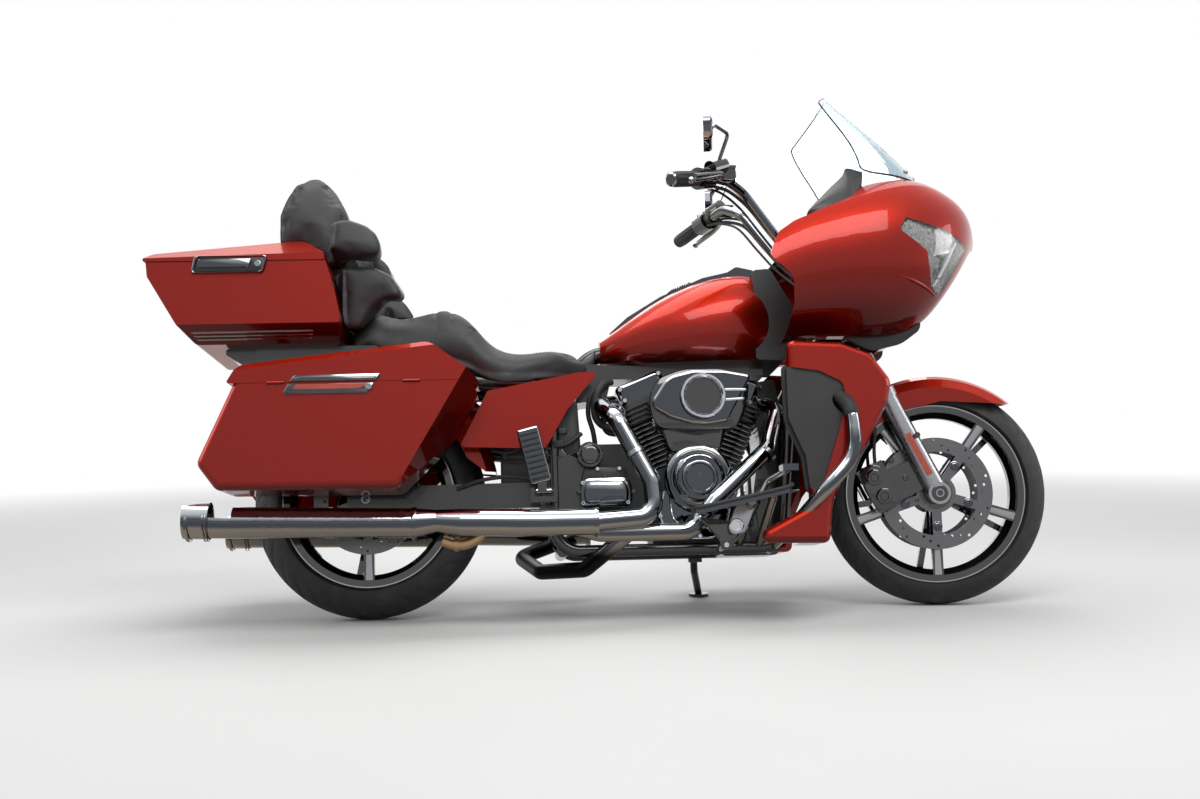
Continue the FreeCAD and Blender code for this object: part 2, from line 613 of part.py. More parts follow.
def exhaust():
    """Two headers on the right, a crossover to the left, and on each side a collector cover and its can."""
    cans = []
    for side in (-1, 1):
        y = side * MUFFLER_Y
        rings = [Part.Wire([Part.makeCircle(r, V(x, y, z), V(1, 0, 0))]) for x, z, r in COLLECTOR]
        end_x, end_z = COLLECTOR[-1][:2]
        tip = rod((end_x, y, end_z + 5), (end_x - 68, y, end_z + 7), TIP_R)
        bore = rod((end_x + 60, y, end_z + 3), (end_x - 80, y, end_z + 7), TIP_R - 8)
        cans.append(fused([loft(rings, True), tip]).cut(bore))
    add("mufflers", "chassis", *cans)
    y = MUFFLER_Y
    rear = tube([(690, -70, 590), (655, -150, 575), (694, -228, 528), (782, -258, 352), (790, -268, 256),
                 (620, -y, 243)], 25, 46)
    front = tube([(HEAD_X - 288, -60, 585), (HEAD_X - 240, -110, 560), (HEAD_X - 285, -190, 440), (960, -232, 300),
                  (890, -240, 214), (640, -248, 214), (540, -y, 240)], 24, 50)
    cross = tube([(720, -240, 214), (600, -150, 120), (480, 0, 120), (420, 200, 170), (600, y, 236), (640, y, 243)],
                 22, 40)
    pipes = fused([rear, front, cross])
    for name in ("mufflers", "cylinders", "rocker_covers", "frame", "swingarm", "transmission", "timing_cover",
                 "crankcase"):
        pipes = pipes.cut(NODES[name])
    add("exhaust_headers", "chassis", *[s for s in pipes.Solids if s.Volume > 20000])


TANK = [
    # x, bottom (y, z), side (y, z), shoulder (y, z), top z
    (662, (40, 712), (66, 740), (40, 776), 786),
    (760, (95, 704), (132, 760), (92, 832), 852),
    (880, (130, 700), (174, 775), (120, 893), 922),
    (1000, (145, 700), (190, 800), (130, 930), 962),
    (1110, (130, 702), (168, 810), (115, 935), 966),
    (1190, (80, 714), (106, 800), (70, 885), 902),
]


def fuel_tank():
    """A teardrop tank lofted through its sections, over the backbone."""
    tank = loft([arc_section(*row) for row in TANK])
    tank = tank.cut(NODES["frame"]).cut(NODES["rocker_covers"]).cut(NODES["cylinders"]).cut(NODES["air_cleaner"])
    add("fuel_tank", "chassis", tank)
    spine = plate([(690, 800), (744, 848), (843, 908), (968, 962), (1042, 978), (1068, 994), (1117, 983),
                   (1140, 960), (1150, 900), (1000, 900), (690, 740)], -44, 44, 14)
    add("tank_console", "chassis", spine.cut(tank).cut(NODES["frame"]))


SEAT = [
    # x, bottom (y, z), side (y, z), shoulder (y, z), top z
    (-45, (120, 704), (142, 750), (105, 808), 814),
    (60, (145, 700), (164, 770), (120, 842), 848),
    (200, (155, 700), (176, 770), (128, 850), 856),
    (272, (165, 690), (184, 770), (130, 836), 844),
    (325, (178, 660), (196, 720), (140, 778), 786),
    (385, (185, 640), (202, 690), (150, 730), 733),
    (470, (172, 645), (190, 690), (140, 726), 729),
    (560, (125, 662), (142, 700), (105, 734), 740),
    (656, (40, 712), (62, 748), (45, 774), 782),
]


def seat():
    """A two-step saddle lofted through its sections."""
    saddle = loft([arc_section(*row) for row in SEAT])
    for name in ("frame", "fuel_tank", "tank_console"):
        saddle = saddle.cut(NODES[name])
    add("seat", "chassis", saddle)


def rear_fender():
    """The fender over the rear tyre, open below."""
    outer = [(-122, 300), (-122, 340), (-100, 368), (100, 368), (122, 340), (122, 300)]
    inner = [(118, 300), (118, 338), (98, 364), (-98, 364), (-118, 338), (-118, 300)]
    ring = turned(outer + inner, 0, REAR_TYRE_R)
    keep = plate([(-460, 400), (-300, 400), (-200, 480), (200, 500), (330, 400), (420, 400), (420, 760), (-460, 760)],
                 -200, 200, 0)
    fender = ring.common(keep)
    tabs = [box((x, x + 30), sorted((side * 119, side * 142)), (650, 674)) for side in (-1, 1) for x in (-60, 70)]
    fender = fused([fender] + tabs)
    belt_room = box((150, 460), (PULLEY_Y - 10, PULLEY_Y + PULLEY_W), (380, 470))
    fender = fender.cut(belt_room)
    for name in ("frame", "seat", "swingarm"):
        fender = fender.cut(NODES[name])
    add("rear_fender", "chassis", max(fender.Solids, key=lambda s: s.Volume))


def side_covers():
    """The painted panel ahead of each saddlebag."""
    outline = [(649, 664), (597, 664), (340, 616), (262, 462), (498, 452), (560, 560)]
    pieces = []
    for side in (-1, 1):
        panel = plate(outline, side * 172, side * 200, [8, 10, 10, 8, 20, 20])
        boss = disc(520, 575, 14, side * (FRAME_Y + 4), side * 176)
        pieces.append(fused([panel, boss]).cut(NODES["frame"]).cut(NODES["seat"]))
    add("side_covers", "chassis", *pieces)


# Load spaces

BAG_SIDE = [(-311, 616), (-405, 407), (-353, 337), (110, 332), (235, 454), (318, 592), (304, 616)]
LID_SIDE = [(-330, 612), (-296, 668), (188, 722), (279, 655), (320, 624), (318, 612)]
CASE_SIDE = [(-580, 976), (-576, 936), (-496, 802), (-455, 757), (-62, 757), (-55, 820), (-71, 897), (-95, 976)]
CASE_LID_SIDE = [(-592, 976), (-571, 1010), (-180, 1073), (-100, 998), (-96, 976)]
CASE_HALF = 272.0
CROWN_HALF = 110.0
HINGE_R = 3.5
BAG_FACET = [(277, 430, 621), (106, 430, 332), (318, 300, 592)]
BAG_LID_BEVEL = [(-296, 430, 650), (188, 430, 704), (-296, 392, 668)]
CASE_TAPER = [(-600, 272, 802), (0, 272, 802), (-300, 196, 750)]
LID_SLOPE = [(-600, 276, 986), (0, 276, 1000), (-300, 150, 1052)]


def hollow_body(outline, y_from, y_to, wall, radii, fillet, seam, above):
    """A box with a side outline, rounded outer edges and an even wall: the solid, and the room inside it."""
    def closed_side(b):
        return b.ZMax > seam + 0.5 if above else b.ZMin < seam - 0.5

    solid = plate(outline, y_from, y_to, radii)
    face = Part.Face(rounded_wire([V(x, 0, z) for x, z in outline], radii))
    inner = face.makeOffset2D(-wall)
    core = Part.Face(inner.Wires[0]).extrude(V(0, y_to - y_from - 2 * wall, 0))
    core.translate(V(0, y_from + wall, 0))
    if fillet:
        solid = solid.makeFillet(fillet, edges_at_y(solid, y_to, closed_side))
        core = core.makeFillet(fillet - wall, edges_at_y(core, y_to - wall, lambda b: True))
    return solid, core


def layer(low, high):
    """Everything between two heights."""
    return box((-900, 900), (-900, 900), (low, high))


def hinge_leaves(xs, y, z, inner):
    """Knuckles on a lid's hinge line, each with a leaf that reaches in to the lid."""
    leaves = []
    for x in xs:
        leaves.append(Part.makeCylinder(HINGE_R, 44, V(x - 22, y, z), V(1, 0, 0)))
        leaves.append(box((x - 22, x + 22), (inner, y), (z + 1.2, z + 3.4)))
    return leaves


def saddlebags():
    """Two hollow saddlebags with separate lids that hinge along their outer edge."""
    body, core = hollow_body(BAG_SIDE, BAG_IN, BAG_OUT, BAG_WALL, [0, 26, 26, 26, 30, 12, 0], 22, BAG_SEAM, False)
    body = body.cut(beyond(BAG_FACET, (0, 300, 450)))
    core = core.cut(beyond(BAG_FACET, (0, 300, 450), BAG_WALL))
    mouth = deck([(-300, BAG_IN + BAG_WALL), (250, BAG_IN + BAG_WALL), (250, BAG_OUT - 2 * BAG_WALL),
                  (-300, BAG_OUT - 2 * BAG_WALL)], BAG_SEAM - 30, BAG_SEAM + 30, 20)
    bag = body.cut(core.common(layer(0, BAG_SEAM))).cut(mouth).common(layer(0, BAG_SEAM))
    bag = max(bag.Solids, key=lambda s: s.Volume)
    lid, lid_core = hollow_body(LID_SIDE, BAG_IN, BAG_OUT, BAG_WALL, [6, 20, 30, 20, 6, 0], 0, BAG_SEAM, True)
    for plane in (BAG_FACET, BAG_LID_BEVEL):
        lid = lid.cut(beyond(plane, (0, 300, 630)))
        lid_core = lid_core.cut(beyond(plane, (0, 300, 630), BAG_WALL))
    lid_mouth = deck([(-296, BAG_IN + BAG_WALL), (250, BAG_IN + BAG_WALL), (250, BAG_OUT - 2 * BAG_WALL),
                      (-296, BAG_OUT - 2 * BAG_WALL)], BAG_SEAM - 5, BAG_SEAM + 8, 20)
    cover = lid.common(layer(BAG_SEAM + LID_GAP, 900)).cut(lid_core).cut(lid_mouth)
    cover = max(cover.Solids, key=lambda s: s.Volume)
    cover = fused([cover] + hinge_leaves((-200, 150), BAG_OUT + 4, BAG_SEAM, BAG_OUT - 3))
    add("saddlebags", "chassis", mirrored(bag), bag)
    add("bag_lid_right", "bag_lid_right", mirrored(cover))
    add("bag_lid_left", "bag_lid_left", cover)


def top_case():
    """The hollow top case, its lid with sloping sides, and the rack that carries the case."""
    half = CASE_HALF
    body, core = hollow_body(CASE_SIDE, -half, half, CASE_WALL, [0, 20, 40, 20, 20, 40, 40, 0], 0, CASE_SEAM, False)
    for side in (-1, 1):
        plane = [(x, side * y, z) for x, y, z in CASE_TAPER]
        body = body.cut(beyond(plane, (-300, 0, 900)))
        core = core.cut(beyond(plane, (-300, 0, 900), CASE_WALL))
    mouth = box((-572, -102), (-half + CASE_WALL, half - CASE_WALL), (CASE_SEAM - 30, CASE_SEAM + 5))
    add("case_base", "chassis", body.cut(core.common(layer(0, CASE_SEAM))).cut(mouth))
    lid, lid_core = hollow_body(CASE_LID_SIDE, -half - 4, half + 4, CASE_WALL, [6, 20, 50, 16, 0], 0, CASE_SEAM, True)
    for side in (-1, 1):
        plane = [(x, side * y, z) for x, y, z in LID_SLOPE]
        lid = lid.cut(beyond(plane, (-300, 0, 980)))
        lid_core = lid_core.cut(beyond(plane, (-300, 0, 980), CASE_WALL))
    mouth = box((-580, -104), (-half + CASE_WALL, half - CASE_WALL), (CASE_SEAM - 5, CASE_SEAM + 5))
    cover = lid.common(layer(CASE_SEAM + LID_GAP, 1300)).cut(lid_core).cut(mouth)
    cover = max(cover.Solids, key=lambda s: s.Volume)
    cover = fused([cover] + hinge_leaves((-440, -220), half + 8, CASE_SEAM, half + 1))
    add("case_lid", "case_lid", cover)
    rack = fused([plate([(-416, 757), (-128, 757), (-180, 703), (-330, 703)], -150, 150, 12),
                  box((-300, 40), (-160, -130), (694, 757)), box((-300, 40), (130, 160), (694, 757))])
    for name in ("frame", "seat", "rear_fender", "case_base"):
        rack = rack.cut(NODES[name])
    add("case_rack", "chassis", max(rack.Solids, key=lambda s: s.Volume))
    return lid


BOLSTER = [(29, 982), (82, 954), (113, 902), (108, 876), (60, 878), (28, 856), (-4, 800), (-32, 792), (-62, 806),
           (-62, 982)]
WING = [(-88, 1008), (-88, 1092), (-40, 1099), (12, 1084), (43, 1062), (62, 1024), (58, 992), (23, 990), (-84, 1000)]
CROWN = [(-247, 1060), (-247, 1150), (-231, 1202), (-203, 1257), (-153, 1290), (-121, 1265), (-97, 1216), (-69, 1162),
         (-50, 1090), (-50, 1010), (-88, 1000)]
PAD_EDGE = [(20, 0), (11, 3), (4, 8), (0, 14)]
CROWN_FRONT = [(-110, 960), (-110, 1170), (-62, 1291), (62, 1291), (110, 1170), (110, 960)]


def backrest(lid):
    """The lower pad with its bolsters on the case, and the upper pad with wings and crown on the lid."""
    lower = plate([(-62, 808), (-16, 822), (24, 890), (20, 960), (4, 980), (-62, 980), (-90, 960), (-72, 880)],
                  -150, 150, 12)
    bolster = soft_plate(BOLSTER, 128, 212, [18, 30, 20, 18, 20, 30, 18, 18, 20, 18], PAD_EDGE)
    pad = fused([lower, bolster, mirrored(bolster)]).cut(NODES["case_base"]).cut(NODES["seat"])
    add("backrest", "chassis", max(pad.Solids, key=lambda s: s.Volume))
    wing = soft_plate(WING, 150, 262, [18, 18, 30, 24, 24, 20, 18, 18, 18], PAD_EDGE)
    web = plate([(-88, 1004), (-88, 1120), (-56, 1112), (-24, 1080), (-10, 1040), (-12, 992), (-84, 998)],
                -152, 152, [4, 8, 20, 20, 20, 10, 4])
    crown = plate(CROWN, -CROWN_HALF, CROWN_HALF, [0, 10, 30, 30, 30, 30, 30, 30, 30, 12, 0])
    front = rounded_wire([V(-300, y, z) for y, z in CROWN_FRONT], [0, 60, 55, 55, 60, 0])
    crown = crown.common(Part.Face(front).extrude(V(400, 0, 0)))
    upper = fused([wing, mirrored(wing), web, crown]).cut(lid)
    upper = upper.cut(layer(0, 989))
    add("backrest_top", "case_lid", max(upper.Solids, key=lambda s: s.Volume))


# Fairing

FAIRING = [
    # x from the datum, bottom (y, z), side (y, z), shoulder (y, z), top z
    (-295, (215, 722), (404, 880), (378, 1000), 1040),
    (-150, (245, 742), (414, 900), (388, 1066), 1120),
    (0, (250, 742), (416, 930), (372, 1118), 1213),
    (120, (235, 762), (390, 945), (330, 1150), 1236),
    (240, (180, 868), (320, 985), (240, 1150), 1212),
    (320, (110, 985), (204, 1035), (150, 1115), 1142),
    (364, (40, 1035), (88, 1053), (66, 1076), 1083),
]


def fairing_solid(inset):
    """The fairing's outer form, drawn in by an inset all round."""
    rows = at_head(FAIRING)
    rows[-1] = (rows[-1][0] - inset, *rows[-1][1:])
    return loft([arc_section(*row, inset) for row in rows])


def fairing():
    """Outer shell, inner dash panel, headlamps and windscreen."""
    outer, inner = fairing_solid(0), fairing_solid(SHELL_WALL)
    edge = [(-360, 600), (-244, 719), (-225, 810), (-230, 879), (-292, 942), (-263, 1008), (-180, 1065), (-54, 1114),
            (0, 1180), (30, 1300), (-360, 1300)]
    back = plate(at_head(edge), -500, 500, [0, 0, 60, 30, 20, 30, 60, 30, 20, 0, 0])
    shell = outer.cut(inner).cut(back)
    under = box((HEAD_X - 360, HEAD_X + 100), (-205, 205), (600, 790))
    shell = shell.cut(under)
    lens = [(62, 1006), (84, 1041), (220, 1012), (290, 985), (194, 843), (160, 865), (142, 951)]
    lamp_zone = plate(at_head(lens), -500, 500, 6)
    lamp = outer.cut(fairing_solid(SHELL_WALL + 4)).common(lamp_zone)
    shell = shell.cut(lamp_zone)
    add("headlamps", "chassis", *[s for s in lamp.Solids if s.Volume > 4000])
    add("fairing_shell", "chassis", *[s for s in shell.Solids if s.Volume > 4000])
    dash_side = [(0, 1010), (-52, 1062), (-56, 1108), (-5, 1172), (40, 1190), (40, 1010)]
    dash = plate(at_head(dash_side), -450, 450, [10, 20, 10, 10, 10, 10]).common(inner)
    neck_x = axis_x(840) - HEAD_X
    stay_side = [(neck_x + 22, 806), (190, 806), (222, 1000), (200, 1180), (38, 1186), (38, 1150), (130, 1140),
                 (145, 900), (100, 872), (neck_x + 12, 872)]
    stay = plate(at_head(stay_side), -28, 28, 4)
    dash = fused([dash, stay])
    for name in ("headlamps", "fairing_shell", "frame"):
        dash = dash.cut(NODES[name])
    add("fairing_inner", "chassis", max(dash.Solids, key=lambda s: s.Volume))


SCREEN = [
    # x from the datum at the middle, z there, x at the sides, z there, half width
    (228, 1216, 4, 1214, 250),
    (152, 1308, -20, 1290, 252),
    (72, 1385, -55, 1350, 246),
    (-44, 1494, -100, 1432, 222),
]


def windscreen():
    """A clear screen: a curved sheet through four arcs, thickened, its foot cut to the shell."""
    arcs = []
    for cx, cz, sx, sz, half in SCREEN:
        left, middle, right = V(sx + HEAD_X, half, sz), V(cx + HEAD_X, 0, cz), V(sx + HEAD_X, -half, sz)
        arcs.append(Part.Wire([Part.Arc(left, middle, right).toShape()]))
    sheet = Part.makeLoft(arcs, False, False)
    screen = sheet.makeOffsetShape(SCREEN_T, 0.01, fill=True)
    for name in ("fairing_shell", "headlamps", "fairing_inner"):
        screen = screen.cut(NODES[name])
    add("windscreen", "chassis", max(screen.Solids, key=lambda s: s.Volume))


SHIELD = [(-251, 714), (-105, 706), (-24, 675), (30, 598), (15, 539), (-50, 418), (-118, 333), (-144, 276),
          (-158, 168), (-396, 173), (-208, 269), (-208, 400), (-251, 500)]
SHIELD_ROOM = [(-270, 740), (-130, 680), (-45, 650), (0, 590), (-60, 440), (-132, 350), (-160, 285), (-174, 185),
               (-440, 120)]
POD = [(-256, 640), (-170, 627), (-108, 596), (-98, 545), (-119, 476), (-166, 339), (-204, 290), (-214, 400),
       (-256, 500)]
SHIELD_IN = 215.0
SHIELD_OUT = 380.0
SHIELD_EDGE = [(22, 0), (12, 3), (5, 8), (0, 16)]       # depth below the outer face, and inset, of its rounded edge


def lower_fairings():
    """A painted leg shield on each side of the cradle, with a black pod set into its outer face."""
    shields, pods = [], []
    radii = [20, 40, 40, 40, 40, 60, 40, 30, 20, 20, 30, 30, 20]
    panel = soft_plate(at_head(SHIELD), SHIELD_IN, SHIELD_OUT, radii, SHIELD_EDGE)
    shell = panel.cut(plate(at_head(SHIELD_ROOM), SHIELD_IN - 10, SHIELD_OUT - 28, 10))
    recess = plate(at_head(POD), SHIELD_OUT - 50, SHIELD_OUT + 20, [4, 20, 24, 24, 30, 20, 12, 20, 20])
    shell = shell.cut(recess)
    shell = max(shell.Solids, key=lambda s: s.Volume)
    pod_face = Part.Face(rounded_wire([V(x, SHIELD_OUT - 70, z) for x, z in at_head(POD)],
                                      [4, 20, 24, 24, 30, 20, 12, 20, 20]))
    pod = pod_face.extrude(V(0, 62, 0))
    flange = pod_face.makeOffset2D(9.0).extrude(V(0, 14, 0))
    flange.translate(V(0, 70 - 28 - 14, 0))
    pod = fused([pod, flange]).cut(shell)
    pod = max(pod.Solids, key=lambda s: s.Volume)
    for shape, group in ((shell, shields), (pod, pods)):
        group.extend([mirrored(shape), shape])
    add("lower_fairings", "chassis", *shields)
    add("leg_pods", "chassis", *pods)


def crash_bars():
    """The engine guard outside each lower fairing, fixed to the frame at both ends."""
    pieces = []
    for side in (-1, 1):
        path = [(-275, side * FRAME_Y, 172), (-250, side * 300, 214), (-178, side * 396, 300), (-92, side * 404, 392),
                (-90, side * 402, 500), (-150, side * 330, 590), (-214, side * FRAME_Y, 600)]
        pieces.append(tube(at_head(path), 16, 50).cut(NODES["frame"]))
    add("crash_bars", "chassis", *pieces)
    for name in ("lower_fairings", "leg_pods"):
        lowered = NODES[name].cut(NODES["crash_bars"])
        solids = sorted(lowered.Solids, key=lambda s: -s.Volume)[:2]
        NODES[name] = Part.makeCompound(solids)


def foot_place():
    """Rider floorboards with brackets, the brake pedal on the right and the shift lever on the left."""
    boards, pedals = [], []
    for side in (-1, 1):
        slab = plate([(888, 248), (1130, 300), (1142, 322), (1134, 322), (884, 266)], side * 290, side * 400, [6, 6, 4, 4, 6])
        stay = rod((1040, side * 345, 284), (1030, side * 160, 185), 11)
        stay_rear = rod((1100, side * 345, 298), (1085, side * 160, 180), 11)
        boards.append(fused([slab, stay, stay_rear]).cut(NODES["frame"]).cut(NODES["exhaust_headers"]))
        arm = tube([(1000, side * 160, 176), (1030, side * 262, 214), (1100, side * 262, 345), (1150, side * 300, 372)],
                   8, 25)
        pad = box((1128, 1170), (side * 315 - 32, side * 315 + 32), (364, 382))
        pedals.append(fused([arm, pad]).cut(NODES["frame"]))
    add("floorboards", "chassis", *[s for b in boards for s in b.Solids if s.Volume > 20000])
    add("foot_controls", "chassis", *[p.cut(NODES["floorboards"]).cut(NODES["exhaust_headers"])
                                      .cut(NODES["lower_fairings"]) for p in pedals])


PEG_PIVOT = (490.0, 262.0, 330.0)


def passenger_boards():
    """Folding passenger boards, parked upright, each on a bracket at the frame."""
    x, y, z = PEG_PIVOT
    for side, name in ((-1, "footboard_right"), (1, "footboard_left")):
        board = box((x - 29, x + 29), (side * (y + 8) - 8, side * (y + 8) + 8), (z + 24, z + 176))
        board = board.makeFillet(6, board.Edges)
        board.rotate(V(x, side * y, z), V(0, 1, 0), -14)
        knuckle = Part.makeCylinder(9, 40, V(x - 20, side * y, z), V(1, 0, 0))
        web = box((x - 16, x + 8), (side * (y + 6) - 6, side * (y + 6) + 6), (z, z + 34))
        add(name, name, fused([board, knuckle, web]))
        post = rod((x, side * (FRAME_Y + 8), z - 22), (x, side * y, z - 22), 10)
        ears = [box((x + dx - 5, x + dx + 5), (side * y - 12, side * y + 12), (z - 30, z + 9)) for dx in (-31, 31)]
        pin = Part.makeCylinder(4, 60, V(x - 30, side * y, z), V(1, 0, 0))
        base = box((x - 36, x + 36), (side * y - 12, side * y + 12), (z - 30, z - 15))
        BRACKETS.append(fused([post, base, pin] + ears).cut(NODES["frame"]))
        hole = Part.makeCylinder(4.6, 80, V(x - 40, side * y, z), V(1, 0, 0))
        NODES[name] = NODES[name].cut(hole)


def cooler():
    """The oil cooler between the cradle's front tubes, and the horn of the black cover round the head."""
    core = box((HEAD_X - 224, HEAD_X - 188), (-128, 128), (330, 560))
    tabs = [box((HEAD_X - 234, HEAD_X - 188), (side * 132 - 8, side * 132 + 8), (430, 470)) for side in (-1, 1)]
    cooler_body = fused([core] + tabs).cut(NODES["frame"]).cut(NODES["exhaust_headers"])
    add("cooler", "chassis", max(cooler_body.Solids, key=lambda s: s.Volume))
    outline = [(-300, 700), (-213, 694), (-184, 840), (-250, 962), (-300, 958)]
    cover = plate(at_head(outline), -152, 152, [10, 14, 30, 20, 10])
    sweep = rod(leg_point(300, 0, axis_offset()), leg_point(900, 0, axis_offset()), 172)
    cover = cover.cut(sweep)
    for name in ("fuel_tank", "tank_console", "frame", "fairing_shell"):
        cover = cover.cut(NODES[name])
    add("head_cover", "chassis", *[s for s in cover.Solids if s.Volume > 5000])


def drive_belt():
    """The belt from the transmission's pulley to the wheel's, with the small pulley."""
    y_from, y_to = PULLEY_Y + 1, PULLEY_Y + PULLEY_W - 13
    small = SMALL_PULLEY
    big = (0.0, REAR_TYRE_R, PULLEY_R + 5.6)
    outer = belt_outline(small, big, BELT_T)
    inner = belt_outline(small, big, 0.0)
    belt = Part.Face(outer).extrude(V(0, y_to - y_from, 0)).cut(Part.Face(inner).extrude(V(0, y_to - y_from, 0)))
    belt.translate(V(0, y_from, 0))
    return belt


def belt_outline(small, big, extra):
    """A closed wire of two arcs and two tangent lines round two circles in the XZ plane."""
    (xs, zs, rs), (xb, zb, rb) = small, big
    rs, rb = rs + extra, rb + extra
    span = math.hypot(xs - xb, zs - zb)
    tilt = math.atan2(zs - zb, xs - xb)
    open_angle = math.acos((rb - rs) / span)
    points = []
    for sign in (1, -1):
        angle = tilt + sign * open_angle
        points.append((V(xb + rb * math.cos(angle), 0, zb + rb * math.sin(angle)),
                       V(xs + rs * math.cos(angle), 0, zs + rs * math.sin(angle))))
    (b_up, s_up), (b_low, s_low) = points
    back = V(xb - rb * math.cos(tilt), 0, zb - rb * math.sin(tilt))
    nose = V(xs + rs * math.cos(tilt), 0, zs + rs * math.sin(tilt))
    return Part.Wire([Part.makeLine(b_up, s_up), Part.Arc(s_up, nose, s_low).toShape(),
                      Part.makeLine(s_low, b_low), Part.Arc(b_low, back, b_up).toShape()])


def rear_end():
    """Shock absorbers, the rear caliper, the stays of the bags and the tail lamps."""
    shocks = []
    for side in (-1, 1):
        y = side * 150
        shock = fused([rod((110, y, 372), (20, y, 560), 24), rod((122, y, 346), (110, y, 372), 12),
                       rod((20, y, 560), (-30, y, 660), 12)])
        eye = disc(118, 350, 18, side * 138, side * 162)
        whole = fused([shock, eye])
        for name in ("swingarm", "frame", "rear_fender"):
            whole = whole.cut(NODES[name])
        shocks.append(max(whole.Solids, key=lambda s: s.Volume))
    add("shocks", "chassis", *shocks)
    body = box((60, 150), (REAR_DISC_Y - 25, REAR_DISC_Y + 11), (372, 440))
    link = box((70, 140), (REAR_DISC_Y - 25, REAR_DISC_Y - 12), (340, 380))
    slot = disc(0, REAR_TYRE_R, REAR_DISC_R + 8, REAR_DISC_Y - DISC_T / 2 - 5.5, REAR_DISC_Y + DISC_T / 2 + 5.5)
    caliper = fused([body, link]).cut(slot)
    add("rear_caliper", "chassis", caliper.cut(NODES["swingarm"]))
    stays = []
    for side in (-1, 1):
        for x, z in ((-250, 560), (230, 560)):
            reach = sorted((side * 140, side * BAG_IN))
            stays.append(box((x - 15, x + 15), reach, (z - 15, z + 15)))
            stays.append(box((x - 15, x + 15), (side * FRAME_Y - 10, side * FRAME_Y + 10), (z - 15, 690)))
    rods = [fused(stays[i:i + 2]) for i in range(0, len(stays), 2)]
    for stay in rods:
        for name in ("frame", "rear_fender", "saddlebags", "swingarm", "shocks"):
            stay = stay.cut(NODES[name])
        BRACKETS.append(max(stay.Solids, key=lambda s: s.Volume))
    lamps = [plate([(-322, 470), (-366, 486), (-362, 560), (-280, 560)], side * 52, side * 96, 6) for side in (-1, 1)]
    bar = plate([(-270, 558), (-364, 558), (-340, 596), (-250, 612)], -96, 96, 6)
    lamp = fused(lamps + [bar]).cut(NODES["rear_fender"])
    add("tail_lamps", "chassis", max(lamp.Solids, key=lambda s: s.Volume))


STAND_PIVOT = (940.0, 186.0, 158.0)
STAND_FOOT = (964.0, 300.0, 45.0)
STAND_PAD_R = 30.0
STAND_PAD_T = 9.0


def stand_leg():
    """The stand's leg, and the lug on the frame that it turns on."""
    x, y, z = STAND_PIVOT
    boss = Part.makeCylinder(17, 24, V(x, y - 12, z), V(0, 1, 0))
    boss = boss.cut(Part.makeCylinder(8.4, 40, V(x, y - 20, z), V(0, 1, 0)))
    lug = fused([Part.makeCylinder(8, y + 12 - FRAME_Y, V(x, FRAME_Y, z), V(0, 1, 0)),
                 box((x - 20, x + 20), (FRAME_Y - 4, FRAME_Y + 18), (z - 16, z + 14))])
    BRACKETS.append(lug.cut(NODES["frame"]))
    add("frame_brackets", "chassis", *BRACKETS)
    foot = V(*STAND_FOOT)
    leg = tube([(x, y + 4, z - 8), (x + 2, y + 20, z - 40), (foot.x, foot.y, foot.z + 4)], 11, 20)
    leg = leg.cut(Part.makeCylinder(9, 60, V(x, y - 30, z), V(0, 1, 0)))
    return fused([boss, leg])


# Parking: steer, lean, and set down on the floor

ORIGIN_X = 676.6
ORIGIN_Y = 183.4


def lowest(centre, axle, tyre_r, crown, place):
    """Height of a tyre's lowest point once it is placed."""
    turned_axle = place.Rotation.multVec(axle)
    middle = place.multVec(centre)
    return middle.z - (tyre_r - crown) * math.sqrt(1 - turned_axle.z ** 2) - crown


def parked():
    """Placements of the leaning frame and of the steering on it."""
    axis_foot = V(WHEELBASE + TRAIL, 0, 0)
    axis_way = V(-math.sin(math.radians(RAKE)), 0, math.cos(math.radians(RAKE)))
    steer = FreeCAD.Placement(V(0, 0, 0), FreeCAD.Rotation(axis_way, STEER_PARKED), axis_foot)
    pitch, lift = 0.0, 0.0
    for _ in range(6):
        lean = FreeCAD.Placement(V(0, 0, lift), FreeCAD.Rotation(V(0, 1, 0), math.degrees(pitch)).multiply(
            FreeCAD.Rotation(V(1, 0, 0), -LEAN)))
        rear = lowest(V(0, 0, REAR_TYRE_R), V(0, 1, 0), REAR_TYRE_R, REAR_TYRE_W / 2, lean)
        front = lowest(V(WHEELBASE, 0, FRONT_TYRE_R), V(0, 1, 0), FRONT_TYRE_R, FRONT_TYRE_W / 2, lean.multiply(steer))
        pitch += (front - rear) / WHEELBASE
        lift -= rear
    shift = FreeCAD.Placement(V(-ORIGIN_X, -ORIGIN_Y, 0), FreeCAD.Rotation())
    return shift.multiply(lean), shift.multiply(lean).multiply(steer)


def park_all(stand):
    """Turns the steering, leans everything and sets the tyres and the stand on the floor."""
    leaning, steered = parked()
    for body, names in BODIES.items():
        place = steered if body in ("steering", "front_wheel") else leaning
        for name in names:
            NODES[name] = moved(NODES[name], place)
    leg = moved(stand, leaning)
    foot = leaning.multVec(V(*STAND_FOOT))
    pad = Part.makeCylinder(STAND_PAD_R, STAND_PAD_T, V(foot.x, foot.y, 0))
    add("side_stand", "side_stand", fused([leg, pad]).common(Part.makeBox(4000, 4000, 2000, V(-2000, -2000, 0))))


def moved(shape, place):
    """The shape carried by a placement."""
    copy = shape.copy()
    copy.Placement = place.multiply(copy.Placement)
    return copy


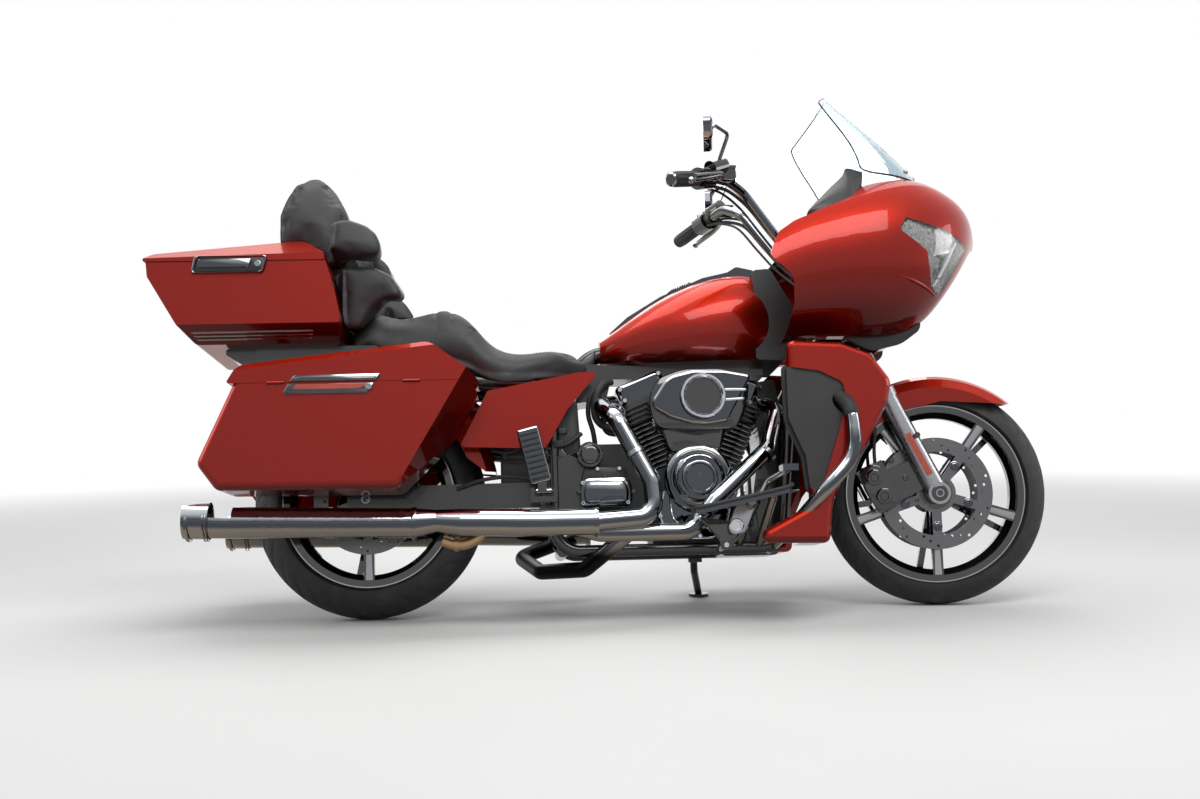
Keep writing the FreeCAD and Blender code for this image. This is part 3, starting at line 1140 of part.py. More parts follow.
if __name__ == "__main__":
    wheels()
    fork()
    front_fender()
    handlebar()
    mirrors()
    front_calipers()
    frame()
    swingarm()
    engine_top()
    engine_bottom()
    air_cleaner()
    exhaust()
    fuel_tank()
    seat()
    rear_fender()
    side_covers()
    saddlebags()
    backrest(top_case())
    fairing()
    windscreen()
    lower_fairings()
    crash_bars()
    foot_place()
    passenger_boards()
    cooler()
    add("drive_belt", "chassis", drive_belt())
    rear_end()
    park_all(stand_leg())
    os.makedirs(OUT_DIR, exist_ok=True)
    for name, shape in NODES.items():
        shape.exportStep(os.path.join(OUT_DIR, name + ".step"))
        print(name, shape.isValid(), len(shape.Solids), [round(s.Volume) for s in shape.Solids])
    b = Part.makeCompound(list(NODES.values())).BoundBox
    print("bounds", [round(v, 1) for v in (b.XMin, b.XMax, b.YMin, b.YMax, b.ZMin, b.ZMax)])
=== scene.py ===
"""Looks of the parked touring cruiser motorcycle.

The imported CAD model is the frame. This script gives each CAD node its finish, adds the pieces that are
too fine for the CAD, and sets the camera, the light and the floor. Shapes are worked out upright, in
millimetres, with X forward from the rear axle, Y to the rider's left and Z up; Parking turns and leans
them into the row frame, in metres.
"""
from __future__ import annotations

import json
import logging
import math
from dataclasses import dataclass
from enum import Enum
from functools import wraps
from typing import Callable, Iterator, Sequence

import bmesh
import bpy
import numpy as np
from mathutils import Matrix, Vector
from mathutils.bvhtree import BVHTree
from mathutils.kdtree import KDTree

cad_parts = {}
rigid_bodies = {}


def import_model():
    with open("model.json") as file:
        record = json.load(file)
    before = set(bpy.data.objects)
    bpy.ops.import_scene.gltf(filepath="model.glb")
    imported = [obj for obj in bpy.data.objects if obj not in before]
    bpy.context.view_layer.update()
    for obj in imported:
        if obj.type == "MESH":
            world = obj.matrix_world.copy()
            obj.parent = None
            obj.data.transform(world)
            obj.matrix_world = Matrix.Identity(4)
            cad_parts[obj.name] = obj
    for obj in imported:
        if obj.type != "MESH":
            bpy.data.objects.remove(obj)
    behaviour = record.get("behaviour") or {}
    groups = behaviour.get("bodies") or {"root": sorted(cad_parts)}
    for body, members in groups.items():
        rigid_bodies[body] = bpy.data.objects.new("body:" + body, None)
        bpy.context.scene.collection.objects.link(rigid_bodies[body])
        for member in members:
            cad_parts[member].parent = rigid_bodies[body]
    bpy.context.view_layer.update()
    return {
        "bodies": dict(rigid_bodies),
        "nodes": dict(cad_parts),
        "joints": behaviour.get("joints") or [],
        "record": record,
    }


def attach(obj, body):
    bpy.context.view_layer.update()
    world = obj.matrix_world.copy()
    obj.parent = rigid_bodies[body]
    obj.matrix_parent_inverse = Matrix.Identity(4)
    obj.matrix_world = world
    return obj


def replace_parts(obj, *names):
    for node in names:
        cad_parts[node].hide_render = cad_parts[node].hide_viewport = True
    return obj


LOG = logging.getLogger("motorcycle")
Array = np.ndarray
IMAGE_SIZE = (1200, 799)


# Geometry

def rotation(axis: Sequence[float], degrees: float) -> Array:
    """Rotation matrix by Rodrigues' formula: I + sin(t) K + (1 - cos(t)) K².

    Args:
        axis: direction of the axis.
        degrees: turn by the right-hand rule.

    Returns:
        A 3x3 matrix.
    """
    a = np.asarray(axis, float)
    a = a / np.linalg.norm(a)
    t = math.radians(degrees)
    k = np.array([[0, -a[2], a[1]], [a[2], 0, -a[0]], [-a[1], a[0], 0]])
    return np.eye(3) + math.sin(t) * k + (1 - math.cos(t)) * k @ k


@dataclass(frozen=True)
class Parking:
    """How the upright machine is turned into the row frame: steered, leaned, pitched and lifted."""

    wheelbase: float = 1625.0
    rake: float = 26.0
    trail: float = 170.0
    lean: float = 8.6
    steer: float = -8.0
    pitch: float = -0.063917
    lift: float = 1.01213
    origin: tuple[float, float] = (676.6, 183.4)
    front_radius: float = 319.0

    @property
    def steering_axis(self) -> tuple[Array, Array]:
        """Where the steering axis meets the ground, and the turn S about it at rest."""
        rake = math.radians(self.rake)
        turn = rotation((-math.sin(rake), 0.0, math.cos(rake)), self.steer)
        return np.array([self.wheelbase + self.trail, 0.0, 0.0]), turn

    @property
    def stance(self) -> tuple[Array, Array]:
        """The machine's turn L into the row frame, and its shift in millimetres."""
        turn = rotation((0, 1, 0), self.pitch) @ rotation((1, 0, 0), -self.lean)
        return turn, np.array([-self.origin[0], -self.origin[1], self.lift])

    def placed(self, points: Array, steering: bool = False) -> Array:
        """Upright millimetres to metres in the row frame: (L q + lift - origin) / 1000.

        Here q = foot + S (p - foot) for a point p of the steering group, and q = p for any other.

        Args:
            points: array of shape (..., 3).
            steering: whether the points belong to the steering group.

        Returns:
            The same shape of array in metres.
        """
        p = np.asarray(points, float)
        flat = p.reshape(-1, 3)
        if steering:
            foot, steer = self.steering_axis
            flat = (flat - foot) @ steer.T + foot
        turn, shift = self.stance
        return ((flat @ turn.T + shift) / 1000.0).reshape(p.shape)

    def upright(self, points: Array) -> Array:
        """Metres in the row frame to upright millimetres, for what doesn't steer."""
        turn, shift = self.stance
        return (np.asarray(points, float).reshape(-1, 3) * 1000.0 - shift) @ turn

    def leg(self, along: float, y: float, ahead: float) -> Array:
        """A point by the fork: along a leg from the axle, across, and square ahead of the leg."""
        s, c = math.sin(math.radians(self.rake)), math.cos(math.radians(self.rake))
        return np.array([self.wheelbase - along * s + ahead * c, y,
                         self.front_radius + along * c + ahead * s])

    def leg_plan(self, along: float, ahead: float) -> tuple[float, float]:
        """The (x, z) of a point by the fork."""
        x, _, z = self.leg(along, 0.0, ahead)
        return x, z


PARKING = Parking()

# The right and the left side, and where rays start: beside the fairing and above the seat, in millimetres.
SIDES = (-1.0, 1.0)
OUTSIDE = 520.0
ABOVE = 1400.0


class Body(Enum):
    """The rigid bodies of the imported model."""

    CHASSIS = "chassis"
    STEERING = "steering"
    FRONT_WHEEL = "front_wheel"
    REAR_WHEEL = "rear_wheel"
    LID_RIGHT = "bag_lid_right"
    LID_LEFT = "bag_lid_left"
    CASE_LID = "case_lid"
    BOARD_RIGHT = "footboard_right"
    BOARD_LEFT = "footboard_left"
    STAND = "side_stand"

    @property
    def steers(self) -> bool:
        """Whether the body turns with the handlebar at rest."""
        return self in (Body.STEERING, Body.FRONT_WHEEL)


@dataclass
class Shape:
    """Vertices and faces of a mesh, worked out upright in millimetres."""

    points: Array
    faces: list

    @staticmethod
    def joined(shapes: Sequence["Shape"]) -> "Shape":
        """All shapes as one, faces renumbered."""
        points, faces, start = [], [], 0
        for shape in shapes:
            points.append(shape.points)
            faces.extend([tuple(i + start for i in face) for face in shape.faces])
            start += len(shape.points)
        return Shape(np.vstack(points), faces)

    def moved(self, matrix: Array, offset: Sequence[float]) -> "Shape":
        """The shape after p -> M p + offset, M being a rotation."""
        return Shape(self.points @ matrix.T + np.asarray(offset, float), self.faces)


def grid_shape(points: Array, wrap_u: bool = False, wrap_v: bool = False, caps: bool = False) -> Shape:
    """A surface from a grid of points P[u, v], four-sided faces between neighbours.

    Args:
        points: array of shape (nu, nv, 3).
        wrap_u: join the last row to the first.
        wrap_v: join the last column to the first.
        caps: close both ends in u with one face each.

    Returns:
        The surface; a closed one is turned so that its faces look outwards.
    """
    nu, nv = points.shape[:2]
    u = np.arange(nu if wrap_u else nu - 1)
    v = np.arange(nv if wrap_v else nv - 1)
    uu, vv = np.meshgrid(u, v, indexing="ij")
    un, vn = (uu + 1) % nu, (vv + 1) % nv
    quads = np.stack([uu * nv + vv, uu * nv + vn, un * nv + vn, un * nv + vv], -1).reshape(-1, 4)
    flat = points.reshape(-1, 3)
    ends = [list(range(nv - 1, -1, -1)), list(range((nu - 1) * nv, nu * nv))] if caps else []
    if wrap_v and (wrap_u or caps) and signed_volume(flat, quads, ends) < 0:
        quads = quads[:, ::-1]
        ends = [end[::-1] for end in ends]
    return Shape(flat, [tuple(q) for q in quads.tolist() + ends])


def gathered(make: Callable[..., Iterator[Shape]]) -> Callable[..., Shape]:
    """Turns a method that yields shapes into one that returns them joined."""
    @wraps(make)
    def joined(*args: object) -> Shape:
        """All shapes that the method yields, as one."""
        return Shape.joined(list(make(*args)))
    return joined


def both_sides(make: Callable[[float], Shape]) -> Shape:
    """One shape from what is made on the right (-1) and on the left (+1)."""
    return Shape.joined([make(side) for side in SIDES])


def signed_volume(points: Array, quads: Array, ends: Sequence[Sequence[int]]) -> float:
    """Volume inside a closed surface, the sum of a · (b x c) / 6 over its triangles."""
    p = points - points.mean(0)
    a, b, c, d = (p[quads[:, i]] for i in range(4))
    total = (a * (np.cross(b, c) + np.cross(c, d))).sum()
    for end in ends:
        total += (p[end[0]] * np.cross(p[end[1:-1]], p[end[2:]])).sum()
    return float(total / 6)


def frames_along(path: Array) -> tuple[Array, Array]:
    """Two unit normals along a path, carried so that they don't twist.

    The first normal is projected square to each tangent in turn: n_i = n_(i-1) - (n_(i-1)·t_i) t_i.
    """
    tangent = np.gradient(path, axis=0)
    tangent /= np.linalg.norm(tangent, axis=1)[:, None] + 1e-12
    start = np.array([0.0, 0.0, 1.0]) if abs(tangent[0][2]) < 0.9 else np.array([1.0, 0.0, 0.0])
    normals = np.empty_like(path)
    for i, t in enumerate(tangent):
        start = start - start.dot(t) * t
        start = start / np.linalg.norm(start)
        normals[i] = start
    return normals, np.cross(tangent, normals)


def smooth_path(points: Sequence[Sequence[float]], count: int = 60) -> Array:
    """A Catmull-Rom line through the points, evenly stepped in its parameter.

    On each span: P(t) = 0.5 (2 P1 + (P2 - P0) t + (2 P0 - 5 P1 + 4 P2 - P3) t² + (3 P1 - P0 - 3 P2 + P3) t³).
    """
    p = np.asarray(points, float)
    p = np.vstack([2 * p[0] - p[1], p, 2 * p[-1] - p[-2]])
    spans = len(p) - 3
    s = np.linspace(0, spans - 1e-9, count)
    i = np.minimum(s.astype(int), spans - 1)
    t = (s - i)[:, None]
    a, b, c, d = p[i], p[i + 1], p[i + 2], p[i + 3]
    return 0.5 * (2 * b + (c - a) * t + (2 * a - 5 * b + 4 * c - d) * t ** 2
                  + (3 * b - a - 3 * c + d) * t ** 3)


def sweep(path: Array, radius: float | Array, sides: int = 16, squash: float = 1.0) -> Shape:
    """A closed round bar along a path: P(u, a) = path(u) + r(u) (cos a n(u) + squash sin a b(u))."""
    n, b = frames_along(path)
    a = np.linspace(0, 2 * math.pi, sides, endpoint=False)
    r = np.broadcast_to(np.asarray(radius, float), (len(path),))[:, None, None]
    ring = np.cos(a)[None, :, None] * n[:, None, :] + squash * np.sin(a)[None, :, None] * b[:, None, :]
    return grid_shape(path[:, None, :] + r * ring, wrap_v=True, caps=True)


def lathe(profile: Sequence[Sequence[float]], centre: Sequence[float], axis: Sequence[float] = (0, 1, 0),
          steps: int = 48, ring: bool = False) -> Shape:
    """A profile turned about an axis k: P(s, a) = c + along(s) k + r(s) (cos a e1 + sin a e2).

    Args:
        profile: rows of (along, radius).
        centre: where along is 0.
        axis: its direction.
        steps: points round it.
        ring: join the profile's last row to its first, as a ring's section, instead of closing both ends.

    Returns:
        The turned surface.
    """
    prof = np.asarray(profile, float)
    k = np.asarray(axis, float) / np.linalg.norm(axis)
    e1 = np.cross(k, [0.0, 0.0, 1.0]) if abs(k[2]) < 0.9 else np.array([1.0, 0.0, 0.0])
    e1 /= np.linalg.norm(e1)
    e2 = np.cross(k, e1)
    a = np.linspace(0, 2 * math.pi, steps, endpoint=False)
    turned = np.cos(a)[:, None] * e1 + np.sin(a)[:, None] * e2
    along, radius = prof[:, 0][:, None, None], prof[:, 1][:, None, None]
    grid = np.asarray(centre, float) + along * k + radius * turned[None]
    return grid_shape(grid, wrap_u=ring, wrap_v=True, caps=not ring)


def bolt(centre: Sequence[float], axis: Sequence[float], radius: float, height: float) -> Shape:
    """A round-headed screw with a socket in its head."""
    profile = [(0, radius), (height * 0.7, radius), (height, radius * 0.82), (height, radius * 0.5),
               (height * 0.55, radius * 0.46)]
    return lathe(profile, centre, axis, 12)


def bolts(places: Sequence[Sequence[float]], y: float, side: float, radius: float, height: float) -> Shape:
    """Screws at the (x, z) places of one plane across, their heads all to one side."""
    return Shape.joined([bolt((x, y, z), (0, side, 0), radius, height) for x, z in places])


def ease(values: Array, length: float, start: float = 0.0) -> Array:
    """A factor for each value that climbs to 1 over a length from either end of them."""
    return np.minimum(1, np.minimum(values - values[0], values[-1] - values) / length + start)


def rounded_outline(points: Sequence[Sequence[float]], radius: float | Sequence[float],
                    steps: int = 6) -> Array:
    """A closed 2-D outline with each corner cut by a quadratic curve.

    Between the tangent points A and B of corner C: Q(t) = (1-t)² A + 2 t (1-t) C + t² B.
    """
    p = np.asarray(points, float)
    before, after = np.roll(p, 1, 0) - p, np.roll(p, -1, 0) - p
    lb, la = np.linalg.norm(before, axis=1), np.linalg.norm(after, axis=1)
    reach = np.minimum(np.broadcast_to(radius, (len(p),)), 0.48 * np.minimum(lb, la))
    a = p + before / lb[:, None] * reach[:, None]
    b = p + after / la[:, None] * reach[:, None]
    t = np.linspace(0, 1, steps)[None, :, None]
    curve = (1 - t) ** 2 * a[:, None] + 2 * t * (1 - t) * p[:, None] + t ** 2 * b[:, None]
    return curve.reshape(-1, 2)


def slab(outline: Array, y_from: float, y_to: float, bevel: float = 2.0) -> Shape:
    """An (x, z) outline carried across in y, its far edge drawn in by a bevel towards the middle.

    The rings are the outline at y_from, at y_to - bevel, and a copy shrunk by bevel at y_to.
    """
    middle = outline.mean(0)
    away = outline - middle
    size = np.linalg.norm(away, axis=1)[:, None] + 1e-9
    inner = outline - away / size * bevel
    drop = math.copysign(bevel, y_to - y_from)
    shoulder = outline - away / size * bevel * 0.3
    rings = ((outline, y_from), (outline, y_to - drop), (shoulder, y_to - drop * 0.3), (inner, y_to))
    grid = np.stack([np.column_stack([r[:, 0], np.full(len(r), y), r[:, 1]]) for r, y in rings])
    return grid_shape(grid, wrap_v=True, caps=True)


# Objects

def make_piece(name: str, shape: Shape, finish: "Finish", body: Body = Body.CHASSIS,
               smooth: float = 40.0) -> bpy.types.Object:
    """Puts a shape into the scene at its parked place and lets it ride on its body.

    Args:
        name: the piece's name.
        shape: upright millimetres.
        finish: its material.
        body: what it moves with.
        smooth: faces meeting at less than this many degrees shade as one surface.

    Returns:
        The new object.
    """
    mesh = bpy.data.meshes.new(name)
    points = PARKING.placed(shape.points, body.steers)
    mesh.from_pydata(points.tolist(), [], shape.faces)
    mesh.validate()
    mesh.update()
    mesh.shade_smooth()
    mesh.set_sharp_from_angle(angle=math.radians(smooth))
    mesh.materials.append(finish.material())
    piece = bpy.data.objects.new(name, mesh)
    bpy.context.scene.collection.objects.link(piece)
    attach(piece, body.value)
    LOG.info("%s: %d faces on %s", name, len(shape.faces), body.value)
    return piece


# Finishes

def linear(red: int, green: int, blue: int) -> tuple[float, float, float, float]:
    """An 8-bit sRGB colour as linear light, ((c + 0.055) / 1.055) ** 2.4 above the toe."""
    def one(value: int) -> float:
        """One channel."""
        c = value / 255.0
        return c / 12.92 if c <= 0.04045 else ((c + 0.055) / 1.055) ** 2.4
    return (one(red), one(green), one(blue), 1.0)


class Recipe:
    """Short calls for building one material's nodes."""

    def __init__(self, name: str) -> None:
        """Starts an empty node material with a Principled shader."""
        self.mat = bpy.data.materials.new(name)
        self.mat.use_nodes = True
        self.tree = self.mat.node_tree
        self.shader = self.tree.nodes["Principled BSDF"]
        self.coords = self.tree.nodes.new("ShaderNodeTexCoord")

    def node(self, kind: str, **settings: object) -> bpy.types.Node:
        """A new node with some of its properties set."""
        made = self.tree.nodes.new(kind)
        for key, value in settings.items():
            setattr(made, key, value)
        return made

    def join(self, source: bpy.types.NodeSocket, target: bpy.types.NodeSocket) -> None:
        """Links two sockets."""
        self.tree.links.new(source, target)

    def place(self, scale: Sequence[float] = (1, 1, 1),
              turn: Sequence[float] = (0, 0, 0)) -> bpy.types.NodeSocket:
        """Object coordinates, stretched and turned."""
        mapping = self.node("ShaderNodeMapping")
        mapping.inputs["Scale"].default_value = scale
        mapping.inputs["Rotation"].default_value = turn
        self.join(self.coords.outputs["Object"], mapping.inputs["Vector"])
        return mapping.outputs["Vector"]

    def noise(self, scale: float, detail: float = 4.0, vector: bpy.types.NodeSocket | None = None,
              roughness: float = 0.5) -> bpy.types.NodeSocket:
        """Noise from 0 to 1."""
        made = self.node("ShaderNodeTexNoise")
        made.inputs["Scale"].default_value = scale
        made.inputs["Detail"].default_value = detail
        made.inputs["Roughness"].default_value = roughness
        self.join(vector or self.coords.outputs["Object"], made.inputs["Vector"])
        return made.outputs["Fac"]

    def cells(self, scale: float, feature: str = "F1", output: str = "Distance",
              vector: bpy.types.NodeSocket | None = None) -> bpy.types.NodeSocket:
        """A Voronoi pattern."""
        made = self.node("ShaderNodeTexVoronoi", feature=feature)
        made.inputs["Scale"].default_value = scale
        self.join(vector or self.coords.outputs["Object"], made.inputs["Vector"])
        return made.outputs[output]

    def span(self, value: bpy.types.NodeSocket, low: float, high: float, start: float = 0.0,
             end: float = 1.0) -> bpy.types.NodeSocket:
        """A value carried from start..end to low..high."""
        made = self.node("ShaderNodeMapRange")
        for key, number in (("From Min", start), ("From Max", end), ("To Min", low), ("To Max", high)):
            made.inputs[key].default_value = number
        self.join(value, made.inputs["Value"])
        return made.outputs["Result"]

    def blend(self, factor: bpy.types.NodeSocket, first: Sequence[float],
              second: Sequence[float]) -> bpy.types.NodeSocket:
        """A colour between two."""
        made = self.node("ShaderNodeMix", data_type="RGBA")
        made.inputs[6].default_value = first
        made.inputs[7].default_value = second
        self.join(factor, made.inputs[0])
        return made.outputs[2]

    def uprightness(self, wander: float = 0.0, scale: float = 4.0) -> bpy.types.NodeSocket:
        """How far the surface looks up, 0 (down) to 1 (up): (n_z + 1) / 2, plus a little noise."""
        parts = self.node("ShaderNodeSeparateXYZ")
        self.join(self.coords.outputs["Normal"], parts.inputs["Vector"])
        level = self.span(parts.outputs["Z"], 0.0, 1.0, -1.0, 1.0)
        if not wander:
            return level
        made = self.node("ShaderNodeMath", operation="ADD")
        self.join(level, made.inputs[0])
        self.join(self.span(self.noise(scale, 2.0), -wander, wander), made.inputs[1])
        return made.outputs["Value"]

    def ramp(self, factor: bpy.types.NodeSocket,
             stops: Sequence[tuple[float, Sequence[float]]]) -> bpy.types.NodeSocket:
        """A colour read from (place, colour) stops, straight between neighbours."""
        made = self.node("ShaderNodeValToRGB")
        band = made.color_ramp.elements
        while len(band) < len(stops):
            band.new(0.5)
        for element, (place, colour) in zip(band, stops):
            element.position = place
            element.color = colour
        self.join(factor, made.inputs["Fac"])
        return made.outputs["Color"]

    def painted_reflection_colour(self, painted_sky_reflection: tuple, level: tuple, painted_ground_reflection: tuple) -> bpy.types.NodeSocket:
        """Chrome's colour as a painted reflection over the slope: the warm floor below, dark at the level and
        pale above.
        """
        dimmer = tuple(0.8 * c for c in painted_ground_reflection[:3]) + (1.0,)
        rising = tuple(0.6 * c for c in painted_sky_reflection[:3]) + (1.0,)
        return self.ramp(self.uprightness(0.03, 6.0), (
            (0.0, painted_ground_reflection), (0.33, dimmer), (0.41, level), (0.60, level), (0.71, rising), (0.86, painted_sky_reflection),
            (1.0, painted_sky_reflection)))

    def height(self) -> bpy.types.NodeSocket:
        """Metres above the floor at rest."""
        parts = self.node("ShaderNodeSeparateXYZ")
        self.join(self.coords.outputs["Object"], parts.inputs["Vector"])
        return parts.outputs["Z"]

    def shade(self, colour: bpy.types.NodeSocket, amount: bpy.types.NodeSocket) -> bpy.types.NodeSocket:
        """A colour times a value."""
        made = self.node("ShaderNodeVectorMath", operation="SCALE")
        self.join(colour, made.inputs[0])
        self.join(amount, made.inputs["Scale"])
        return made.outputs["Vector"]

    def bump(self, height: bpy.types.NodeSocket, strength: float, distance: float) -> None:
        """Relief on the shader's normal."""
        made = self.node("ShaderNodeBump")
        made.inputs["Strength"].default_value = strength
        made.inputs["Distance"].default_value = distance
        self.join(height, made.inputs["Height"])
        self.join(made.outputs["Normal"], self.shader.inputs["Normal"])

    def put(self, name: str, value: object) -> None:
        """A constant on the shader's own socket."""
        self.shader.inputs[name].default_value = value

    def feed(self, name: str, source: bpy.types.NodeSocket) -> None:
        """A link into the shader."""
        self.join(source, self.shader.inputs[name])


@dataclass(frozen=True)
class Finish:
    """A finish: its material's name, its record slot and how its nodes are built."""

    name: str
    slot: str
    build: Callable[[Recipe], None]

    def material(self) -> bpy.types.Material:
        """The material, made on first use."""
        found = bpy.data.materials.get(self.name)
        if found:
            return found
        recipe = Recipe(self.name)
        self.build(recipe)
        return recipe.mat


@dataclass(frozen=True)
class Paint:
    """Candy orange over a metal base, under clear lacquer, with painted light: lighter where it looks up,
    deeper elsewhere as painted shade.
    """

    # Painted light: top is lit paint facing up, flank the side tone, below is paint in painted shade facing
    # down.
    top: tuple = linear(186, 38, 13)
    flank: tuple = linear(124, 18, 7)
    below: tuple = linear(84, 10, 5)
    flake: float = 1600.0

    def __call__(self, r: Recipe) -> None:
        """Painted light and shade follow the slope; flakes vary its strength and tilt the normal a little."""
        flakes = r.cells(self.flake, output="Color")
        grey = r.node("ShaderNodeSeparateColor")
        r.join(flakes, grey.inputs["Color"])
        # The ramp paints light on up-facing paint and shade on flanks and undersides.
        paint_with_painted_light = r.ramp(r.uprightness(0.02),
                       ((0.2, self.below), (0.45, self.flank), (0.62, self.flank), (0.93, self.top)))
        r.feed("Base Color", r.shade(paint_with_painted_light, r.span(grey.outputs["Red"], 0.78, 1.16)))
        r.feed("Roughness", r.span(r.noise(3.0, 2.0), 0.34, 0.42))
        r.put("Metallic", 0.85)
        r.put("Specular IOR Level", 0.25)
        r.put("Specular Tint", (1.0, 0.42, 0.3, 1.0))
        r.put("Coat Weight", 0.75)
        r.put("Coat IOR", 1.36)
        r.put("Coat Roughness", 0.03)
        r.bump(grey.outputs["Green"], 0.12, 0.0004)


@dataclass(frozen=True)
class Metal:
    """A bare or turned metal with faint polishing variation."""

    colour: tuple = linear(168, 170, 174)
    rough: tuple[float, float] = (0.03, 0.08)
    grain: float = 60.0
    stretch: tuple[float, float, float] = (1, 1, 1)
    relief: float = 0.0

    def __call__(self, r: Recipe) -> None:
        """Noise, stretched along the polishing, varies the roughness."""
        n = r.noise(self.grain, 6.0, r.place(self.stretch))
        dark = tuple(0.8 * c for c in self.colour[:3]) + (1.0,)
        r.feed("Base Color", r.blend(r.noise(7.0, 3.0), dark, self.colour))
        r.feed("Roughness", r.span(n, self.rough[0], self.rough[1], 0.3, 0.7))
        r.put("Metallic", 1.0)
        if self.relief:
            r.bump(n, self.relief, 0.0006)


@dataclass(frozen=True)
class Plate:
    """Chrome plate on polished steel, its colour a painted reflection: cool and bright where it looks up,
    dark at the level, warm below.
    """

    # Colours of the painted reflection: pale overhead, dark at the level and warm from the floor below.
    painted_sky_reflection: tuple = linear(214, 220, 226)
    level: tuple = linear(72, 75, 80)
    painted_ground_reflection: tuple = linear(150, 140, 128)
    rough: tuple[float, float] = (0.02, 0.06)

    def __call__(self, r: Recipe) -> None:
        """A ramp over the slope that paints a reflection into the colour, its bounds wandering slowly, and a
        trace of noise in the gloss.
        """
        r.feed("Base Color", r.painted_reflection_colour(self.painted_sky_reflection, self.level, self.painted_ground_reflection))
        r.feed("Roughness", r.span(r.noise(40.0, 4.0), self.rough[0], self.rough[1], 0.3, 0.7))
        r.put("Metallic", 1.0)


@dataclass(frozen=True)
class HeaderPlate(Plate):
    """The header pipes' chrome, darkened by painted shade and made rougher where a pipe passes under the
    engine.
    """

    # Heights in metres that bound the painted shade under the engine, and the factor at its darkest.
    shade_full_below: float = 0.185
    bright: float = 0.215
    darkest_painted_shade: float = 0.05

    def __call__(self, r: Recipe) -> None:
        """The plate's own ramp, scaled down between two heights above the floor as painted shade."""
        # Painted shade: below the engine the colour falls nearly to black.
        low = r.span(r.height(), self.darkest_painted_shade, 1.0, self.shade_full_below, self.bright)
        r.feed("Base Color", r.shade(r.painted_reflection_colour(self.painted_sky_reflection, self.level, self.painted_ground_reflection), low))
        r.feed("Roughness", r.span(r.height(), 0.42, self.rough[1], self.shade_full_below, self.bright))
        r.put("Metallic", 1.0)


@dataclass(frozen=True)
class Coated:
    """Plastic or painted parts: colour with slight dust, an even gloss, and an optional fine texture."""

    colour: tuple = linear(18, 18, 20)
    rough: tuple[float, float] = (0.16, 0.24)
    texture: float = 0.0
    grain: float = 900.0
    coat: float = 0.3

    def __call__(self, r: Recipe) -> None:
        """A large soft noise stands for dust; a fine one for the moulded texture."""
        lighter = tuple(min(1.0, c * 1.5 + 0.006) for c in self.colour[:3]) + (1.0,)
        r.feed("Base Color", r.blend(r.span(r.noise(9.0, 5.0), 0.0, 1.0, 0.45, 0.8), self.colour, lighter))
        r.feed("Roughness", r.span(r.noise(22.0, 4.0), self.rough[0], self.rough[1]))
        r.put("Coat Weight", self.coat)
        if self.texture:
            r.bump(r.noise(self.grain, 3.0), self.texture, 0.0006)


@dataclass(frozen=True)
class Hide:
    """Grained black vinyl or leather."""

    colour: tuple = linear(26, 26, 28)

    def __call__(self, r: Recipe) -> None:
        """Cells with soft borders are the grain; two sizes of noise break up the gloss."""
        cells = r.cells(420.0, "SMOOTH_F1")
        worn = tuple(c * 1.7 for c in self.colour[:3]) + (1.0,)
        r.feed("Base Color", r.blend(r.span(r.noise(14.0, 6.0), 0.0, 1.0, 0.4, 0.75), self.colour, worn))
        r.feed("Roughness", r.span(r.noise(40.0, 5.0), 0.42, 0.6))
        r.put("Specular IOR Level", 0.45)
        r.bump(cells, 0.35, 0.0008)


@dataclass(frozen=True)
class Rubber:
    """Tyre rubber: nearly black, matt, a little brown where it rolls."""

    colour: tuple = linear(24, 24, 25)

    def __call__(self, r: Recipe) -> None:
        """Noise lifts dusty patches and roughens the surface."""
        dusty = linear(58, 56, 53)
        r.feed("Base Color", r.blend(r.span(r.noise(12.0, 8.0), 0.0, 1.0, 0.52, 0.85), self.colour, dusty))
        r.feed("Roughness", r.span(r.noise(30.0, 5.0), 0.55, 0.8))
        r.bump(r.noise(700.0, 3.0), 0.2, 0.0005)


@dataclass(frozen=True)
class Clear:
    """Clear or tinted plastic and glass."""

    colour: tuple = (0.92, 0.95, 0.96, 1.0)
    rough: tuple[float, float] = (0.0, 0.03)

    def __call__(self, r: Recipe) -> None:
        """Transmission with a trace of dust in the roughness."""
        r.feed("Base Color",
               r.blend(r.noise(5.0, 3.0), self.colour, tuple(c * 0.97 for c in self.colour[:3]) + (1.0,)))
        r.feed("Roughness", r.span(r.noise(18.0, 6.0), self.rough[0], self.rough[1], 0.5, 0.9))
        r.put("Transmission Weight", 1.0)
        r.put("IOR", 1.45)


# Both paints carry painted light and shade by slope.
PAINT = Finish("candy_orange", "paint", Paint())
SHELL_PAINT = Finish("candy_orange_shell", "paint_shell", Paint())
# Chrome whose colour carries a painted reflection of its surroundings.
CHROME = Finish("chrome_plate", "chrome", Plate())
# Header chrome with a painted reflection, and painted shade under the engine.
HEADER_CHROME = Finish("chrome_headers", "chrome", HeaderPlate())
TRIM_CHROME = Finish("chrome_trim", "chrome", Metal(linear(186, 189, 194), (0.03, 0.08)))
SATIN = Finish("satin_alloy", "alloy", Metal(linear(150, 152, 156), (0.22, 0.34), 240.0, (1, 1, 0.15), 0.03))
MACHINED = Finish("machined_alloy", "alloy",
                  Metal(linear(150, 152, 156), (0.16, 0.28), 420.0, (1, 0.2, 1), 0.04))
DISC_STEEL = Finish("brake_steel", "steel", Metal(linear(104, 104, 107), (0.24, 0.4), 260.0, (1, 1, 1), 0.05))
STEEL = Finish("bright_steel", "steel", Metal(linear(140, 141, 144), (0.2, 0.34), 160.0))
GLOSS_BLACK = Finish("gloss_black", "black_metal", Coated(linear(10, 10, 11), (0.05, 0.11), coat=0.8))
FRAME_BLACK = Finish("frame_black", "black_metal", Coated(linear(14, 14, 15), (0.2, 0.32), coat=0.4))
